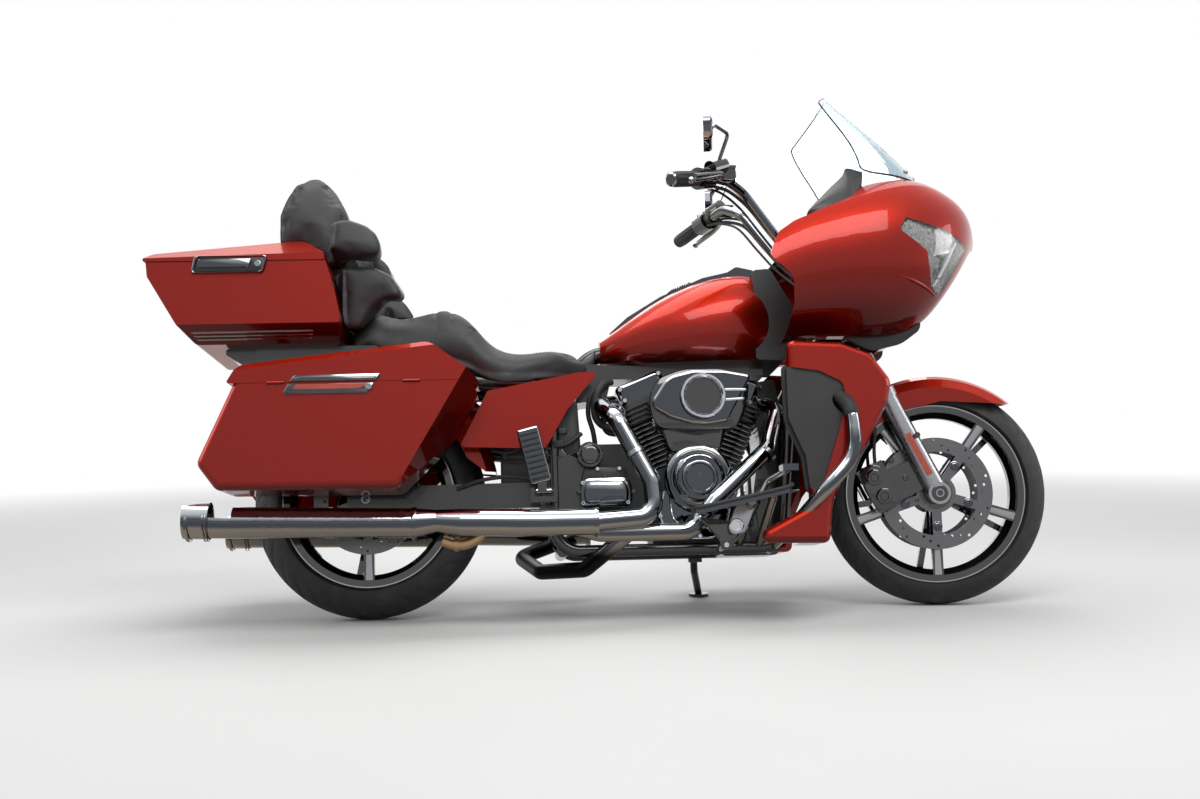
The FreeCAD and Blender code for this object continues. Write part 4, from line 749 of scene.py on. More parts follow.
WRINKLE = Finish("wrinkle_black", "engine", Coated(linear(20, 20, 21), (0.4, 0.55), 0.5, 1300.0, 0.1))
PLASTIC = Finish("black_plastic_satin", "black_plastic",
                 Coated(linear(17, 17, 18), (0.38, 0.5), 0.18, 1500.0, 0.0))
LEATHER = Finish("black_vinyl", "leather", Hide())
GRIP = Finish("grip_rubber", "rubber", Rubber(linear(18, 18, 18)))
TYRE = Finish("tyre_rubber", "tyre", Rubber())
SCREEN = Finish("screen_clear", "glass", Clear((0.64, 0.74, 0.80, 1.0)))
LENS = Finish("lens_clear", "glass", Clear((0.92, 0.94, 0.95, 1.0)))
RED_LENS = Finish("lens_red", "red_lens", Coated(linear(120, 8, 8), (0.05, 0.12), coat=0.8))
AMBER = Finish("lens_amber", "red_lens", Coated(linear(158, 44, 8), (0.06, 0.14), coat=0.7))
THREAD = Finish("sewing_thread", "leather", Coated(linear(44, 44, 46), (0.5, 0.7), 0.3, 2600.0, 0.0))
BROWNED = Finish("heat_browned_steel", "steel",
                 Metal(linear(168, 138, 104), (0.28, 0.42), 40.0, (1, 1, 1), 0.05))
REFLECTOR = Finish("lamp_reflector", "chrome", Metal(linear(92, 90, 88), (0.2, 0.34), 90.0, (1, 1, 1), 0.02))
WHITE_LENS = Finish("lens_white", "glass", Coated(linear(226, 228, 230), (0.1, 0.2), coat=0.6))
SCREEN_EDGE = Finish("screen_edge_dark", "black_plastic", Coated(linear(30, 34, 38), (0.1, 0.18), coat=0.5))
DIAL = Finish("dial_face", "black_plastic", Coated(linear(8, 8, 9), (0.1, 0.16), coat=0.6))
MIRROR = Finish("mirror_glass", "chrome", Metal(linear(240, 242, 245), (0.0, 0.02), 30.0))


NODE_FINISHES = {
    # The paints carry painted light and shade; the chrome finishes carry a painted reflection, and the
    # headers' also painted shade.
    PAINT: ("fuel_tank", "rear_fender", "front_fender"),
    SHELL_PAINT: ("side_covers", "saddlebags", "bag_lid_right", "bag_lid_left", "case_base", "case_lid",
                  "fairing_shell", "lower_fairings"),
    HEADER_CHROME: ("exhaust_headers",),
    CHROME: ("rocker_covers", "timing_cover", "primary_cover", "air_cleaner", "mufflers", "tank_console",
             "crash_bars", "floorboards", "foot_controls", "footboard_right", "footboard_left", "handlebar",
             "mirrors"),
    GLOSS_BLACK: ("front_rim", "rear_rim", "fork_yokes", "hand_controls", "rear_pulley", "brake_calipers",
                  "rear_caliper"),
    FRAME_BLACK: ("frame", "swingarm", "frame_brackets", "case_rack", "shocks", "side_stand", "cooler"),
    WRINKLE: ("cylinders", "crankcase", "transmission"),
    SATIN: ("fork_sliders",),
    DISC_STEEL: ("front_discs", "rear_disc"),
    STEEL: ("front_axle", "rear_axle"),
    LEATHER: ("seat", "backrest", "backrest_top"),
    PLASTIC: ("fairing_inner", "head_cover", "leg_pods"),
    GRIP: ("grips", "drive_belt"),
    TYRE: ("front_tyre", "rear_tyre"),
    SCREEN: ("windscreen",),
    LENS: ("headlamps",),
    RED_LENS: ("tail_lamps",),
}


def dress_nodes(nodes: dict) -> None:
    """Gives each CAD node its finish."""
    for finish, names in NODE_FINISHES.items():
        for name in names:
            if name not in nodes:
                LOG.info("no node %s", name)
                continue
            data = nodes[name].data
            data.materials.clear()
            data.materials.append(finish.material())


# Placing on the CAD's surfaces

class Surface:
    """The outside of one or more CAD nodes, asked in upright millimetres."""

    def __init__(self, *nodes: bpy.types.Object) -> None:
        """Joins the nodes' triangles, turned back upright, into one search tree; none of them steers."""
        points, faces, start = [], [], 0
        for node in nodes:
            mesh = node.data
            co = np.empty(len(mesh.vertices) * 3)
            mesh.vertices.foreach_get("co", co)
            points.append(PARKING.upright(co.reshape(-1, 3)))
            faces.extend([tuple(i + start for i in p.vertices) for p in mesh.polygons])
            start += len(mesh.vertices)
        self.tree = BVHTree.FromPolygons(np.vstack(points).tolist(), faces)

    def along(self, start: Sequence[float], way: Sequence[float]) -> Array | None:
        """Where a ray first meets the surface."""
        hit = self.tree.ray_cast(Vector(start), Vector(way))
        return np.array(hit[0]) if hit[0] is not None else None

    def top(self, x: float, y: float, missing: float = math.nan) -> float:
        """The height at which a ray from above meets the surface, or the value given for a miss."""
        hit = self.along((x, y, ABOVE), (0, 0, -1))
        return missing if hit is None else float(hit[2])

    def side(self, outline: Array, y_from: float, lift: float = 0.0) -> Array:
        """Points of (x, z) thrown across from y_from towards the middle, each lifted off what it meets.

        Args:
            outline: array of (x, z).
            y_from: where the rays start; their way is towards y = 0.
            lift: millimetres back towards the start.

        Returns:
            Array of (x, y, z); a ray that misses takes the mean y of the others.
        """
        sign = 1.0 if y_from > 0 else -1.0
        hits = [self.along((x, y_from, z), (0, -sign, 0)) for x, z in outline]
        found = [h[1] for h in hits if h is not None]
        mean = float(np.mean(found)) if found else y_from
        y = np.array([mean if h is None else h[1] for h in hits]) + sign * lift
        return np.column_stack([outline[:, 0], y, outline[:, 1]])


# Wheels

@dataclass
class Wheel:
    """One wheel's dress: tyre with tread, machined spoke faces, rim line and carrier bolts."""

    body: Body
    x: float
    radius: float
    width: float
    bead: float
    spoke_hub_y: float
    discs: tuple[float, ...]
    pitches: int = 34
    spokes: int = 5
    grip: float = 3.2
    steps: int = 560
    hub: float = 84.0
    bolt_circle: float = 94.0

    @property
    def name(self) -> str:
        """The wheel's name."""
        return self.body.value

    @property
    def flange(self) -> float:
        """Half the distance between the rim's flanges."""
        return self.width * 0.36

    def tyre(self) -> Shape:
        """The tyre as a grid P(s, a) turned about the axle: y(s) and r(s) from the section, less the grooves.

        The crown is an arc y = c sin p, r = R - c + c cos p. Slanted grooves lie where the fraction of
        pitches * a / 2 pi + slant * |p| is near one half, and sink r by grip millimetres.
        """
        crown = self.width / 2
        drop, edge = 0.82 * crown, crown * math.cos(math.asin(0.18))
        c = (edge ** 2 + drop ** 2) / (2 * drop)
        reach = math.asin(edge / c)
        foot, lip = self.flange - 0.3, self.bead + 14.3
        p = np.linspace(-reach, reach, 61)
        y, r = c * np.sin(p), self.radius - c + c * np.cos(p)
        t = np.linspace(0, 1, 12)[1:]
        wall_r = r[-1] + (lip - r[-1]) * t
        bulge = 2.2 * np.sin(math.pi * t) + 0.9 * (np.abs(t - 0.3) < 0.08) - 0.6 * (np.abs(t - 0.62) < 0.06)
        wall_y = edge + (foot - edge) * t ** 1.6 + bulge
        y = np.concatenate([[-foot], -wall_y[::-1], y, wall_y, [foot]])
        r = np.concatenate([[self.bead + 0.6], wall_r[::-1], r, wall_r, [self.bead + 0.6]])
        span = np.concatenate([np.full(12, -9.0), p / reach, np.full(12, 9.0)])
        a = np.linspace(0, 2 * math.pi, self.steps, endpoint=False)
        side = np.abs(span)[:, None]
        phase = self.pitches * a[None, :] / (2 * math.pi) + 1.9 * side ** 1.3 + 0.5 * (span[:, None] > 0)
        near = np.abs(phase % 1.0 - 0.5)
        band = np.clip((side - 0.10) / 0.05, 0, 1) * np.clip((0.80 - side) / 0.05, 0, 1)
        long_cut = np.clip((0.13 - near) / 0.05, 0, 1) * band
        short = np.abs((2 * phase + 0.3) % 2.0 - 1.0)
        short_cut = np.clip((0.12 - short) / 0.05, 0, 1) * np.clip((side - 0.45) / 0.05, 0, 1) * band
        rr = r[:, None] - self.grip * np.maximum(long_cut, short_cut)
        grid = np.stack([self.x + rr * np.cos(a), np.broadcast_to(y[:, None], rr.shape),
                         self.radius + rr * np.sin(a)], -1)
        return grid_shape(grid, wrap_u=True, wrap_v=True)

    def rim_line(self, side: float) -> Shape:
        """The bright turned band on the rim's flange."""
        y = side * (self.flange + 6.0)
        r = self.bead + 14.0
        profile = [(-side * 1.0, r - 4.4), (side * 0.7, r - 3.8), (side * 0.7, r - 0.6), (-side * 1.0, r)]
        return lathe(profile, (self.x, y, self.radius), (0, 1, 0), 160, ring=True)

    def spoke_face(self, number: int, side: float) -> Shape:
        """A machined face on one spoke: P(u, w) runs from hub to rim and across, crowned by 1 - w²."""
        half, turn = (8.2, 0.0) if side < 0 else (4.4, 11.0)
        angle = 180.0 + turn - 360.0 / self.spokes * number
        u = np.linspace(0, 1, 9)[:, None]
        w = np.linspace(-1, 1, 7)[None, :]
        r = self.hub + u * (self.bead - 8.0 - self.hub) + 0 * w
        hub_y, rim_y = self.spoke_hub_y, self.flange + 2.0
        base = hub_y + (rim_y - hub_y) * (r - 32.0) / (self.bead - 40.0)
        across = w * half * (0.45 + 0.75 * u ** 0.8)
        top = base + 0.5 + 0.8 * (1 - w ** 2)
        out = np.stack([across, side * top, r], -1)
        under = np.stack([across, side * (base - 1.0) + 0 * w, r], -1)
        local = grid_shape(np.concatenate([out, under[:, ::-1]], axis=1), wrap_v=True, caps=True)
        return local.moved(rotation((0, 1, 0), angle), (self.x, 0, self.radius))

    @gathered
    def carrier_bolts(self, y: float) -> Iterator[Shape]:
        """Domed nuts that hold a disc; a single disc's are flatter and pass inside its caliper."""
        side = math.copysign(1.0, y)
        out = side * (0.7 if len(self.discs) == 1 else 1.0)
        profile = [(0, 14), (out * 1.6, 14), (out * 2.4, 12), (out * 2.4, 9.5), (out * 5.4, 9),
                   (out * 6.2, 7), (out * 6.2, 4.5), (out * 2.8, 4)]
        for n in range(self.spokes):
            a = 2 * math.pi * n / self.spokes + math.pi
            x, z = self.x + self.bolt_circle * math.sin(a), self.radius + self.bolt_circle * math.cos(a)
            yield lathe(profile, (x, y + side * 2.4, z), steps=24)

    def build(self) -> None:
        """Makes the tyre, the faces, the bands and the bolts."""
        tyre = make_piece(self.name + "_tyre_tread", self.tyre(), TYRE, self.body, 32)
        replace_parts(tyre, self.name.split("_")[0] + "_tyre")
        faces = [self.spoke_face(n, side) for n in range(self.spokes) for side in SIDES]
        nuts = [self.carrier_bolts(y) for y in self.discs]
        for name, shape, finish in (
                ("_rim_lines", both_sides(self.rim_line), MACHINED),
                ("_spoke_faces", Shape.joined(faces), MACHINED),
                ("_carrier_bolts", Shape.joined(nuts), CHROME),
                ("_valve", self.valve(), FRAME_BLACK)):
            make_piece(self.name + name, shape, finish, self.body)

    def valve(self) -> Shape:
        """The valve stem, out of the rim's well towards the axle."""
        a = math.radians(130)
        way = np.array([math.cos(a), 0.0, math.sin(a)])
        start = np.array([self.x, -8.0, self.radius]) + way * (self.bead - 20)
        steps = ((0, 5.0), (14, 4.5), (15, 3.5), (28, 3.5))
        return sweep(np.array([start - way * down for down, _ in steps]), np.array([r for _, r in steps]), 10)


# Fork and front fender

@dataclass
class Fork:
    """Reflectors, axle ends, pinch bolts, caliper covers and brake hoses of the steering group."""

    leg_y: float = 112.0
    leg_r: float = 30.0
    reflector: tuple[float, float] = (58.0, 190.0)

    def reflector_strip(self, side: float) -> Shape:
        """An amber strip bent round the outside of a slider: P(s, a) = leg(s) + r (cos a, sin a)."""
        s = np.linspace(*self.reflector, 24)
        a = np.radians(np.linspace(-16, 16, 7))
        edge = ease(s, 4.0)[:, None]
        rake = math.radians(PARKING.rake)
        rows = []
        for r in (self.leg_r - 1.0, self.leg_r + 2.2):
            y = side * (self.leg_y + r * np.cos(a))
            grid = np.stack([PARKING.leg(v, 0.0, 0.0) + 0 * a[:, None] for v in s])
            grid[..., 1] = y
            ahead = r * np.sin(a)[None, :] * (0.9 + 0.1 * edge)
            grid[..., 0] += ahead * math.cos(rake)
            grid[..., 2] += ahead * math.sin(rake)
            rows.append(grid)
        return grid_shape(np.concatenate([rows[1], rows[0][:, ::-1]], axis=1), wrap_v=True, caps=True)

    def axle_end(self, side: float) -> Shape:
        """The black stepped cap round the axle's end."""
        profile = [(0, 23), (side * 4.5, 23), (side * 6, 21), (side * 6, 14), (side * 3, 12.6)]
        return lathe(profile, (PARKING.wheelbase, side * 141.0, PARKING.front_radius))

    @gathered
    def screws(self) -> Iterator[Shape]:
        """Chrome screws: fender bracket, caliper and pinch screws, both sides."""
        for side in SIDES:
            for x, z, r, y in ((1568, 484, 9, 143), (1536, 365, 8.5, 101), (1499, 416, 8, 101),
                               (1560, 300, 6, 143)):
                yield bolt((x, side * y, z), (0, side, 0), r, 7)

    def caliper_face(self, side: float) -> Shape:
        """The cast outer half of a front caliper: rounded slab with two raised pistons."""
        corners = ((28, -172), (20, -150), (22, -104), (60, -96), (130, -100), (158, -118), (160, -170),
                   (96, -180))
        plan = rounded_outline([PARKING.leg_plan(along, ahead) for along, ahead in corners], 18)
        piston = [(0, 24), (side * 5, 23), (side * 7, 19), (side * 7, 12), (side * 5, 10)]
        pistons = [lathe(piston, PARKING.leg(along, side * 107.0, -138.0)) for along in (62.0, 122.0)]
        return Shape.joined([slab(plan, side * 99.0, side * 108.0, 5.0)] + pistons)

    def hose(self, side: float) -> Shape:
        """The brake hose from a caliper up behind the leg to the lower yoke."""
        places = ((150, 92, -118), (190, 92, -100), (260, 96, -62), (340, 98, -46), (430, 84, -48),
                  (474, 70, -38))
        return sweep(smooth_path([PARKING.leg(along, side * y, ahead) for along, y, ahead in places], 50),
                     5.0, 12)

    def build(self) -> None:
        """Makes every piece of the fork's dress."""
        for name, shape, finish in (
                ("fork_reflectors", both_sides(self.reflector_strip), AMBER),
                ("front_axle_caps", both_sides(self.axle_end), GLOSS_BLACK),
                ("fork_screws", self.screws(), CHROME),
                ("front_caliper_halves", both_sides(self.caliper_face), GLOSS_BLACK),
                ("front_brake_hoses", both_sides(self.hose), GRIP)):
            make_piece(name, shape, finish, Body.STEERING)


# Padded seat and backrests

@dataclass
class Pad:
    """A soft pad blown up from a CAD solid by cloth under pressure, with sewn seams pressed in afterwards."""

    node: str
    body: Body
    rest_way: tuple[float, float, float]
    shrink: float = 5.0
    cap: float = 16.0
    voxel: float = 7.0
    fill: float = 0.6
    frames: int = 20
    pressure: float = 4.0

    def start(self) -> bpy.types.Object:
        """A closed, slightly smaller copy of the solid, remeshed in small squares."""
        source = bpy.data.objects[self.node]
        bm = bmesh.new()
        bm.from_mesh(source.data)
        bmesh.ops.remove_doubles(bm, verts=bm.verts, dist=0.00005)
        bmesh.ops.recalc_face_normals(bm, faces=bm.faces)
        mesh = bpy.data.meshes.new(self.node + "_pad")
        bm.to_mesh(mesh)
        bm.free()
        made = bpy.data.objects.new(self.node + "_pad", mesh)
        bpy.context.scene.collection.objects.link(made)
        remesh = made.modifiers.new("remesh", "REMESH")
        remesh.mode = "VOXEL"
        remesh.voxel_size = self.voxel / 1000
        smooth = made.modifiers.new("smooth", "SMOOTH")
        smooth.factor, smooth.iterations = 0.5, 10
        bake(made)
        return made

    def inflate(self, made: bpy.types.Object) -> None:
        """Cloth with pressure and no gravity, each point's travel capped, and none where the pad rests.

        A point moves by d min(1, cap / |d|) w, where w falls to 0 where its normal looks along rest_way.
        """
        mesh = made.data
        count = len(mesh.vertices)
        start, normal = np.empty(count * 3), np.empty(count * 3)
        mesh.vertices.foreach_get("co", start)
        mesh.vertices.foreach_get("normal", normal)
        start, normal = start.reshape(-1, 3), normal.reshape(-1, 3)
        start -= normal * self.shrink / 1000
        mesh.vertices.foreach_set("co", start.ravel())
        cloth = made.modifiers.new("cloth", "CLOTH")
        cloth.settings.use_pressure = True
        cloth.settings.uniform_pressure_force = self.pressure
        cloth.settings.effector_weights.gravity = 0.0
        cloth.settings.quality = 4
        cloth.point_cache.frame_end = self.frames
        scene = bpy.context.scene
        for frame in range(1, self.frames + 1):
            scene.frame_set(frame)
        shot = made.evaluated_get(bpy.context.evaluated_depsgraph_get()).data
        end = np.empty(count * 3)
        shot.vertices.foreach_get("co", end)
        made.modifiers.remove(cloth)
        scene.frame_set(1)
        move = end.reshape(-1, 3) - start
        far = np.linalg.norm(move, axis=1)[:, None] + 1e-9
        down = PARKING.placed(np.array([self.rest_way, (0, 0, 0)]) * 1000.0)
        down = (down[0] - down[1]) / np.linalg.norm(down[0] - down[1])
        weight = 1.0 - np.clip((normal @ down - 0.45) / 0.4, 0, 1)[:, None]
        held = np.minimum(1.0, self.cap / 1000 / far) * weight
        start += move * held + normal * (1 - weight) * self.shrink / 1000
        mesh.vertices.foreach_set("co", start.ravel())

    def press(self, made: bpy.types.Object, seams: Sequence[tuple[Array, float, float]]) -> None:
        """Sinks the surface by depth exp(-(d / width)²) at a distance d from each seam."""
        mesh = made.data
        count = len(mesh.vertices)
        co, normal = np.empty(count * 3), np.empty(count * 3)
        mesh.vertices.foreach_get("co", co)
        mesh.vertices.foreach_get("normal", normal)
        co, normal = co.reshape(-1, 3), normal.reshape(-1, 3)
        for line, width, depth in seams:
            points = PARKING.placed(line, self.body.steers)
            tree = KDTree(len(points))
            for i, p in enumerate(points):
                tree.insert(p, i)
            tree.balance()
            near = np.array([tree.find(p)[2] for p in co]) * 1000
            co -= normal * (depth / 1000 * np.exp(-(near / width) ** 2))[:, None]
        mesh.vertices.foreach_set("co", co.ravel())
        mesh.update()

    def build(self, seams: Sequence[tuple[Array, float, float]] = ()) -> bpy.types.Object:
        """Makes the pad in place of its solid.

        Args:
            seams: (points, width, depth) of each seam in upright millimetres.

        Returns:
            The finished pad.
        """
        made = self.start()
        self.inflate(made)
        divide = made.modifiers.new("fine", "SUBSURF")
        divide.levels = divide.render_levels = 1
        bake(made)
        if seams:
            self.press(made, seams)
        made.data.shade_smooth()
        made.data.materials.clear()
        made.data.materials.append(LEATHER.material())
        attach(made, self.body.value)
        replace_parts(made, self.node)
        LOG.info("%s: %d faces, padded", made.name, len(made.data.polygons))
        return made


def bake(made: bpy.types.Object) -> None:
    """Writes an object's modified mesh back as its own mesh."""
    graph = bpy.context.evaluated_depsgraph_get()
    mesh = bpy.data.meshes.new_from_object(made.evaluated_get(graph))
    made.modifiers.clear()
    made.data = mesh


def stitches(line: Array, length: float = 6.0, gap: float = 3.0, radius: float = 0.9) -> Shape:
    """Sewing thread along a line: short bars r sqrt(sin) thick at their ends, one after another.

    The line is walked by its arc length; every stitch covers length millimetres, and gap follows it.
    """
    step = np.linalg.norm(np.diff(line, axis=0), axis=1)
    run = np.concatenate([[0], np.cumsum(step)])
    starts = np.arange(0.0, run[-1] - length, length + gap)
    shapes = []
    for s in starts:
        at = s + length * np.array([0.0, 0.12, 0.5, 0.88, 1.0])
        path = np.column_stack([np.interp(at, run, line[:, k]) for k in range(3)])
        shapes.append(sweep(path, radius * np.array([0.4, 0.95, 1.0, 0.95, 0.4]), 6))
    return Shape.joined(shapes)


@dataclass
class Saddle:
    """The two-up seat: padded, with a passenger strap, seams and double stitching."""

    strap_x: tuple[float, float] = (200.0, 236.0)
    half: float = 205.0
    lowest: float = 700.0

    def line(self, skin: Surface, outline: Sequence[Sequence[float]], lift: float) -> Array:
        """Plan points (x, y) dropped onto the seat from above and joined smoothly."""
        path = smooth_path([(x, y, 0) for x, y in outline], 90)
        hits = [skin.along((p[0], p[1], ABOVE), (0, 0, -1)) for p in path]
        return np.array([h + np.array([0, 0, lift]) for h in hits if h is not None])

    def strap(self, skin: Surface) -> Shape:
        """The passenger's strap: a band across the seat, on its surface and raised in its middle."""
        x = np.linspace(*self.strap_x, 6)
        swell = 1.2 + 2.4 * np.sin(math.pi * np.linspace(0, 1, 6)) ** 0.5
        rows = []
        for y in np.linspace(-self.half, self.half, 60):
            tops = np.array([skin.top(at, y) for at in x])
            if (tops > self.lowest).all():
                rows.append(np.column_stack([x, np.full(6, y), tops + swell]))
        grid = np.array(rows)
        under = grid - np.array([0, 0, 5.0])
        return grid_shape(np.concatenate([grid, under[:, ::-1]], axis=1), wrap_v=True, caps=True)

    def build(self) -> None:
        """Makes the pad, presses the seams and sews them."""
        skin = Surface(bpy.data.objects["seat"])
        cross = [self.line(skin, [(x, y) for y in (-190, -100, 0, 100, 190)], 0.0) for x in (196.0, 240.0)]
        edge = [self.line(skin, [(30, s * 128), (110, s * 150), (196, s * 158)], 0.0) for s in (-1, 1)]
        nose = self.line(skin, [(268, -176), (330, -120), (392, -60), (404, 0), (392, 60), (330, 120),
                                (268, 176)], 0.0)
        rider = [self.line(skin, [(404, s * 20), (470, s * 118), (540, s * 96), (640, s * 48)], 0.0)
                 for s in (-1, 1)]
        seams = [(c, 5.0, 4.0) for c in cross] + [(e, 5.0, 3.0) for e in edge + rider] + [(nose, 5.0, 4.0)]
        pad = Pad("seat", Body.CHASSIS, (0, 0, -1), voxel=8.0, cap=12.0).build(seams)
        skin = Surface(pad)
        make_piece("seat_strap", self.strap(skin), LEATHER)
        lines = [self.line(skin, [(268 + d, -170), (330 + d, -116), (392 + d, -58), (404 + d, 0),
                                  (392 + d, 58), (330 + d, 116), (268 + d, 170)], 0.3) for d in (7.0, 13.0)]
        lines += [self.line(skin, [(404, s * 28), (470, s * 126), (540, s * 103), (640, s * 54)], 0.3)
                  for s in (-1, 1)]
        make_piece("seat_stitching", Shape.joined([stitches(line) for line in lines]), THREAD)


# Luggage

@dataclass
class Luggage:
    """Trim of the saddlebags and the top case: latches, reflectors, rails and locks."""

    bag_latch: tuple = ((-155, 630), (73, 632), (36, 581), (-184, 581))
    bag_y: float = 430.0
    case_latch: tuple = ((-448, 990), (-250, 990), (-262, 942), (-458, 942))
    rails: tuple = ((-462, 776), (-130, 776))

    def frame_ring(self, outline: Array, bar: float, y: float, side: float, thick: float) -> Shape:
        """A flat ring of rounded section: P(t, s) runs round the outline and across a bar from rim to rim.

        The section is half a flattened circle: across = bar (1 - cos s) / 2, out = thick sin s.
        """
        outer = rounded_outline(outline, 10.0)
        away = outer - outer.mean(0)
        size = np.linalg.norm(away, axis=1)[:, None]
        grid = []
        for s in np.linspace(0, math.pi, 9):
            ring = outer - away / size * (bar * (1 - math.cos(s)) / 2)
            grid.append(np.column_stack([ring[:, 0], np.full(len(ring), y + side * thick * math.sin(s)),
                                         ring[:, 1]]))
        grid.append(grid[0] * 0.5 + grid[-1] * 0.5 - np.array([0, side * 1.0, 0]))
        return grid_shape(np.stack(grid), wrap_u=True, wrap_v=True)

    def bag_side(self, side: float) -> None:
        """One bag's latch, split where the lid opens: its upper part on the lid, the rest on the bag."""
        name = "right" if side < 0 else "left"
        lid = Body.LID_RIGHT if side < 0 else Body.LID_LEFT
        y = side * self.bag_y
        a, b, c, d = (np.array(p, float) for p in self.bag_latch)

        def front(z: float, inset: float = 0.0) -> Array:
            """The point of the latch's front edge at a height."""
            return b + (c - b) * (z - b[1]) / (c[1] - b[1]) - (inset, 0)

        def back(z: float, inset: float = 0.0) -> Array:
            """The point of the latch's rear edge at a height."""
            return a + (d - a) * (z - a[1]) / (d[1] - a[1]) + (inset, 0)

        cap = (a, b, front(614.5), back(614.5))
        frame = (back(607.0), front(607.0), c, d)
        inlay = (a + (12, -6), b + (-12, -6), front(614.5, 10), back(614.5, 10))
        panel = (back(607.0, 10), front(607.0, 10), front(590.0, 9), back(590.0, 10))
        reflector = ((-148, 606), (44, 606), (14, 593), (-156, 593))
        for start, corners, radii, low, high, bevel, finish, body in (
                ("bag_latch_cap_", cap, (9, 9, 1, 1), 1.0, 7.0, 3.0, CHROME, lid),
                ("bag_latch_inlay_", inlay, (4, 4, 1, 1), 6.0, 7.9, 1.0, GLOSS_BLACK, lid),
                ("bag_latch_frame_", frame, (1, 1, 9, 9), -1.0, 6.0, 3.0, CHROME, Body.CHASSIS),
                ("bag_latch_panel_", panel, (1, 1, 4, 4), 5.0, 6.9, 1.0, GLOSS_BLACK, Body.CHASSIS),
                ("bag_reflector_", reflector, 4, 6.0, 8.4, 1.5, AMBER, Body.CHASSIS)):
            plan = rounded_outline(corners, radii)
            make_piece(start + name, slab(plan, y + side * low, y + side * high, bevel), finish, body)
        profile = [(0, 9), (side * 3, 9), (side * 4.2, 7.5), (side * 4.2, 6), (side * 3.2, 5.6)]
        make_piece("bag_lock_" + name, lathe(profile, (40, y + side * 6.6, 598)), STEEL)

    def case_front(self) -> None:
        """The case's latch: bezel, recess and paddle, on the lid."""
        outline = np.array(self.case_latch, float)
        ring = self.frame_ring(outline, 9.0, -277.0, -1.0, 7.0)
        make_piece("case_latch_frame", ring, CHROME, Body.CASE_LID)
        middle = outline.mean(0)
        recess = rounded_outline(middle + (outline - middle) * np.array([0.955, 0.80]), 6)
        make_piece("case_latch_recess", slab(recess, -276.5, -278.2, 0.6), PLASTIC, Body.CASE_LID)
        paddle = rounded_outline([(-436, 980), (-292, 980), (-300, 957), (-440, 957)], 5)
        make_piece("case_latch_paddle", slab(paddle, -278.0, -284.0, 2.5), CHROME, Body.CASE_LID)
        lock = lathe([(0, 9), (-4, 9), (-5.2, 7.5), (-5.2, 5.5), (-4, 5.2)], (-276, -278, 967))
        make_piece("case_lock", lock, STEEL, Body.CASE_LID)

    @gathered
    def case_rails(self, skin: Surface) -> Iterator[Shape]:
        """Three chrome rails along each flank of the case, thrown onto it from the side."""
        for side in SIDES:
            for row in range(3):
                (x0, z0), (x1, z1) = self.rails
                x = np.linspace(x0 + 6 * row, x1 - 3 * row, 40)
                z = np.linspace(z0, z1, 40) - 7.6 * row + 8
                line = skin.side(np.column_stack([x, z]), side * 340.0, 1.4)
                ends = ease(x, 6, 0.25)
                yield sweep(line, 3.1 * ends, 8)

    def build(self, nodes: dict) -> None:
        """Makes every trim piece of the luggage."""
        for side in SIDES:
            self.bag_side(side)
        self.case_front()
        make_piece("case_rails", self.case_rails(Surface(nodes["case_base"])), CHROME)


# Exhaust

@dataclass
class Exhaust:
    """Shield seams, clamps and tip rings of both mufflers and the headers."""

    y: float = 282.0
    tip: tuple[float, float] = (264.0, 49.0)
    mouth: tuple[float, float, float] = (143.0, 251.0, 39.6)
    front: tuple[float, float, float] = (628.0, 243.0, 36.2)

    @gathered
    def rings(self, side: float) -> Iterator[Shape]:
        """Two beads and the rolled lip of the tip."""
        z, r = self.tip
        for x, wide, up in ((-399.0, 2.2, 1.6), (-406.0, 2.2, 1.6), (-450.0, 5.0, 1.4)):
            s = np.linspace(0, math.pi, 9)
            profile = [(wide * -math.cos(v), r - 0.8 + (up + 0.8) * math.sin(v)) for v in s]
            yield lathe(profile, (x, side * self.y, z), (1, 0, 0), 64, ring=True)

    @gathered
    def bands(self) -> Iterator[Shape]:
        """The collector cover's clamps: flat bands with a screw, at the can's mouth and at the front."""
        for side in SIDES:
            for x, z, r in (self.mouth, self.front):
                profile = [(-7, r - 1), (-7, r + 1.6), (-5.6, r + 2.2), (5.6, r + 2.2), (7, r + 1.6),
                           (7, r - 1)]
                yield lathe(profile, (x, side * self.y, z), (1, 0, 0), 64, ring=True)
                yield bolt((x, side * (self.y + 4), z - r - 2), (0, side, 0), 4.5, 16)

    @gathered
    def header_clamps(self) -> Iterator[Shape]:
        """Worm-drive clamps that hold the heat shields on the header pipes."""
        places = (((692, -205, 546), (0.08, -0.86, -0.5), 27.2),
                  ((744, -248, 430), (0.45, -0.22, -0.87), 27.2),
                  ((1112, -196, 425), (-0.75, -0.23, -0.62), 26.2))
        for at, way, r in places:
            profile = [(-6, r - 1.5), (-6, r + 0.8), (6, r + 0.8), (6, r - 1.5)]
            yield lathe(profile, at, way, 48, ring=True)

    def flange_nuts(self) -> Shape:
        """Exhaust-port nuts at both heads."""
        return bolts(((664, 590), (716, 590), (1086, 585), (1138, 585)), -86, -1, 6.5, 12)

    def build(self) -> None:
        """Makes the exhaust's trim."""
        make_piece("muffler_tip_rings", both_sides(self.rings), CHROME)
        make_piece("muffler_bands", self.bands(), CHROME)
        make_piece("header_clamps", self.header_clamps(), STEEL)
        make_piece("flange_nuts", self.flange_nuts(), STEEL)


# Engine

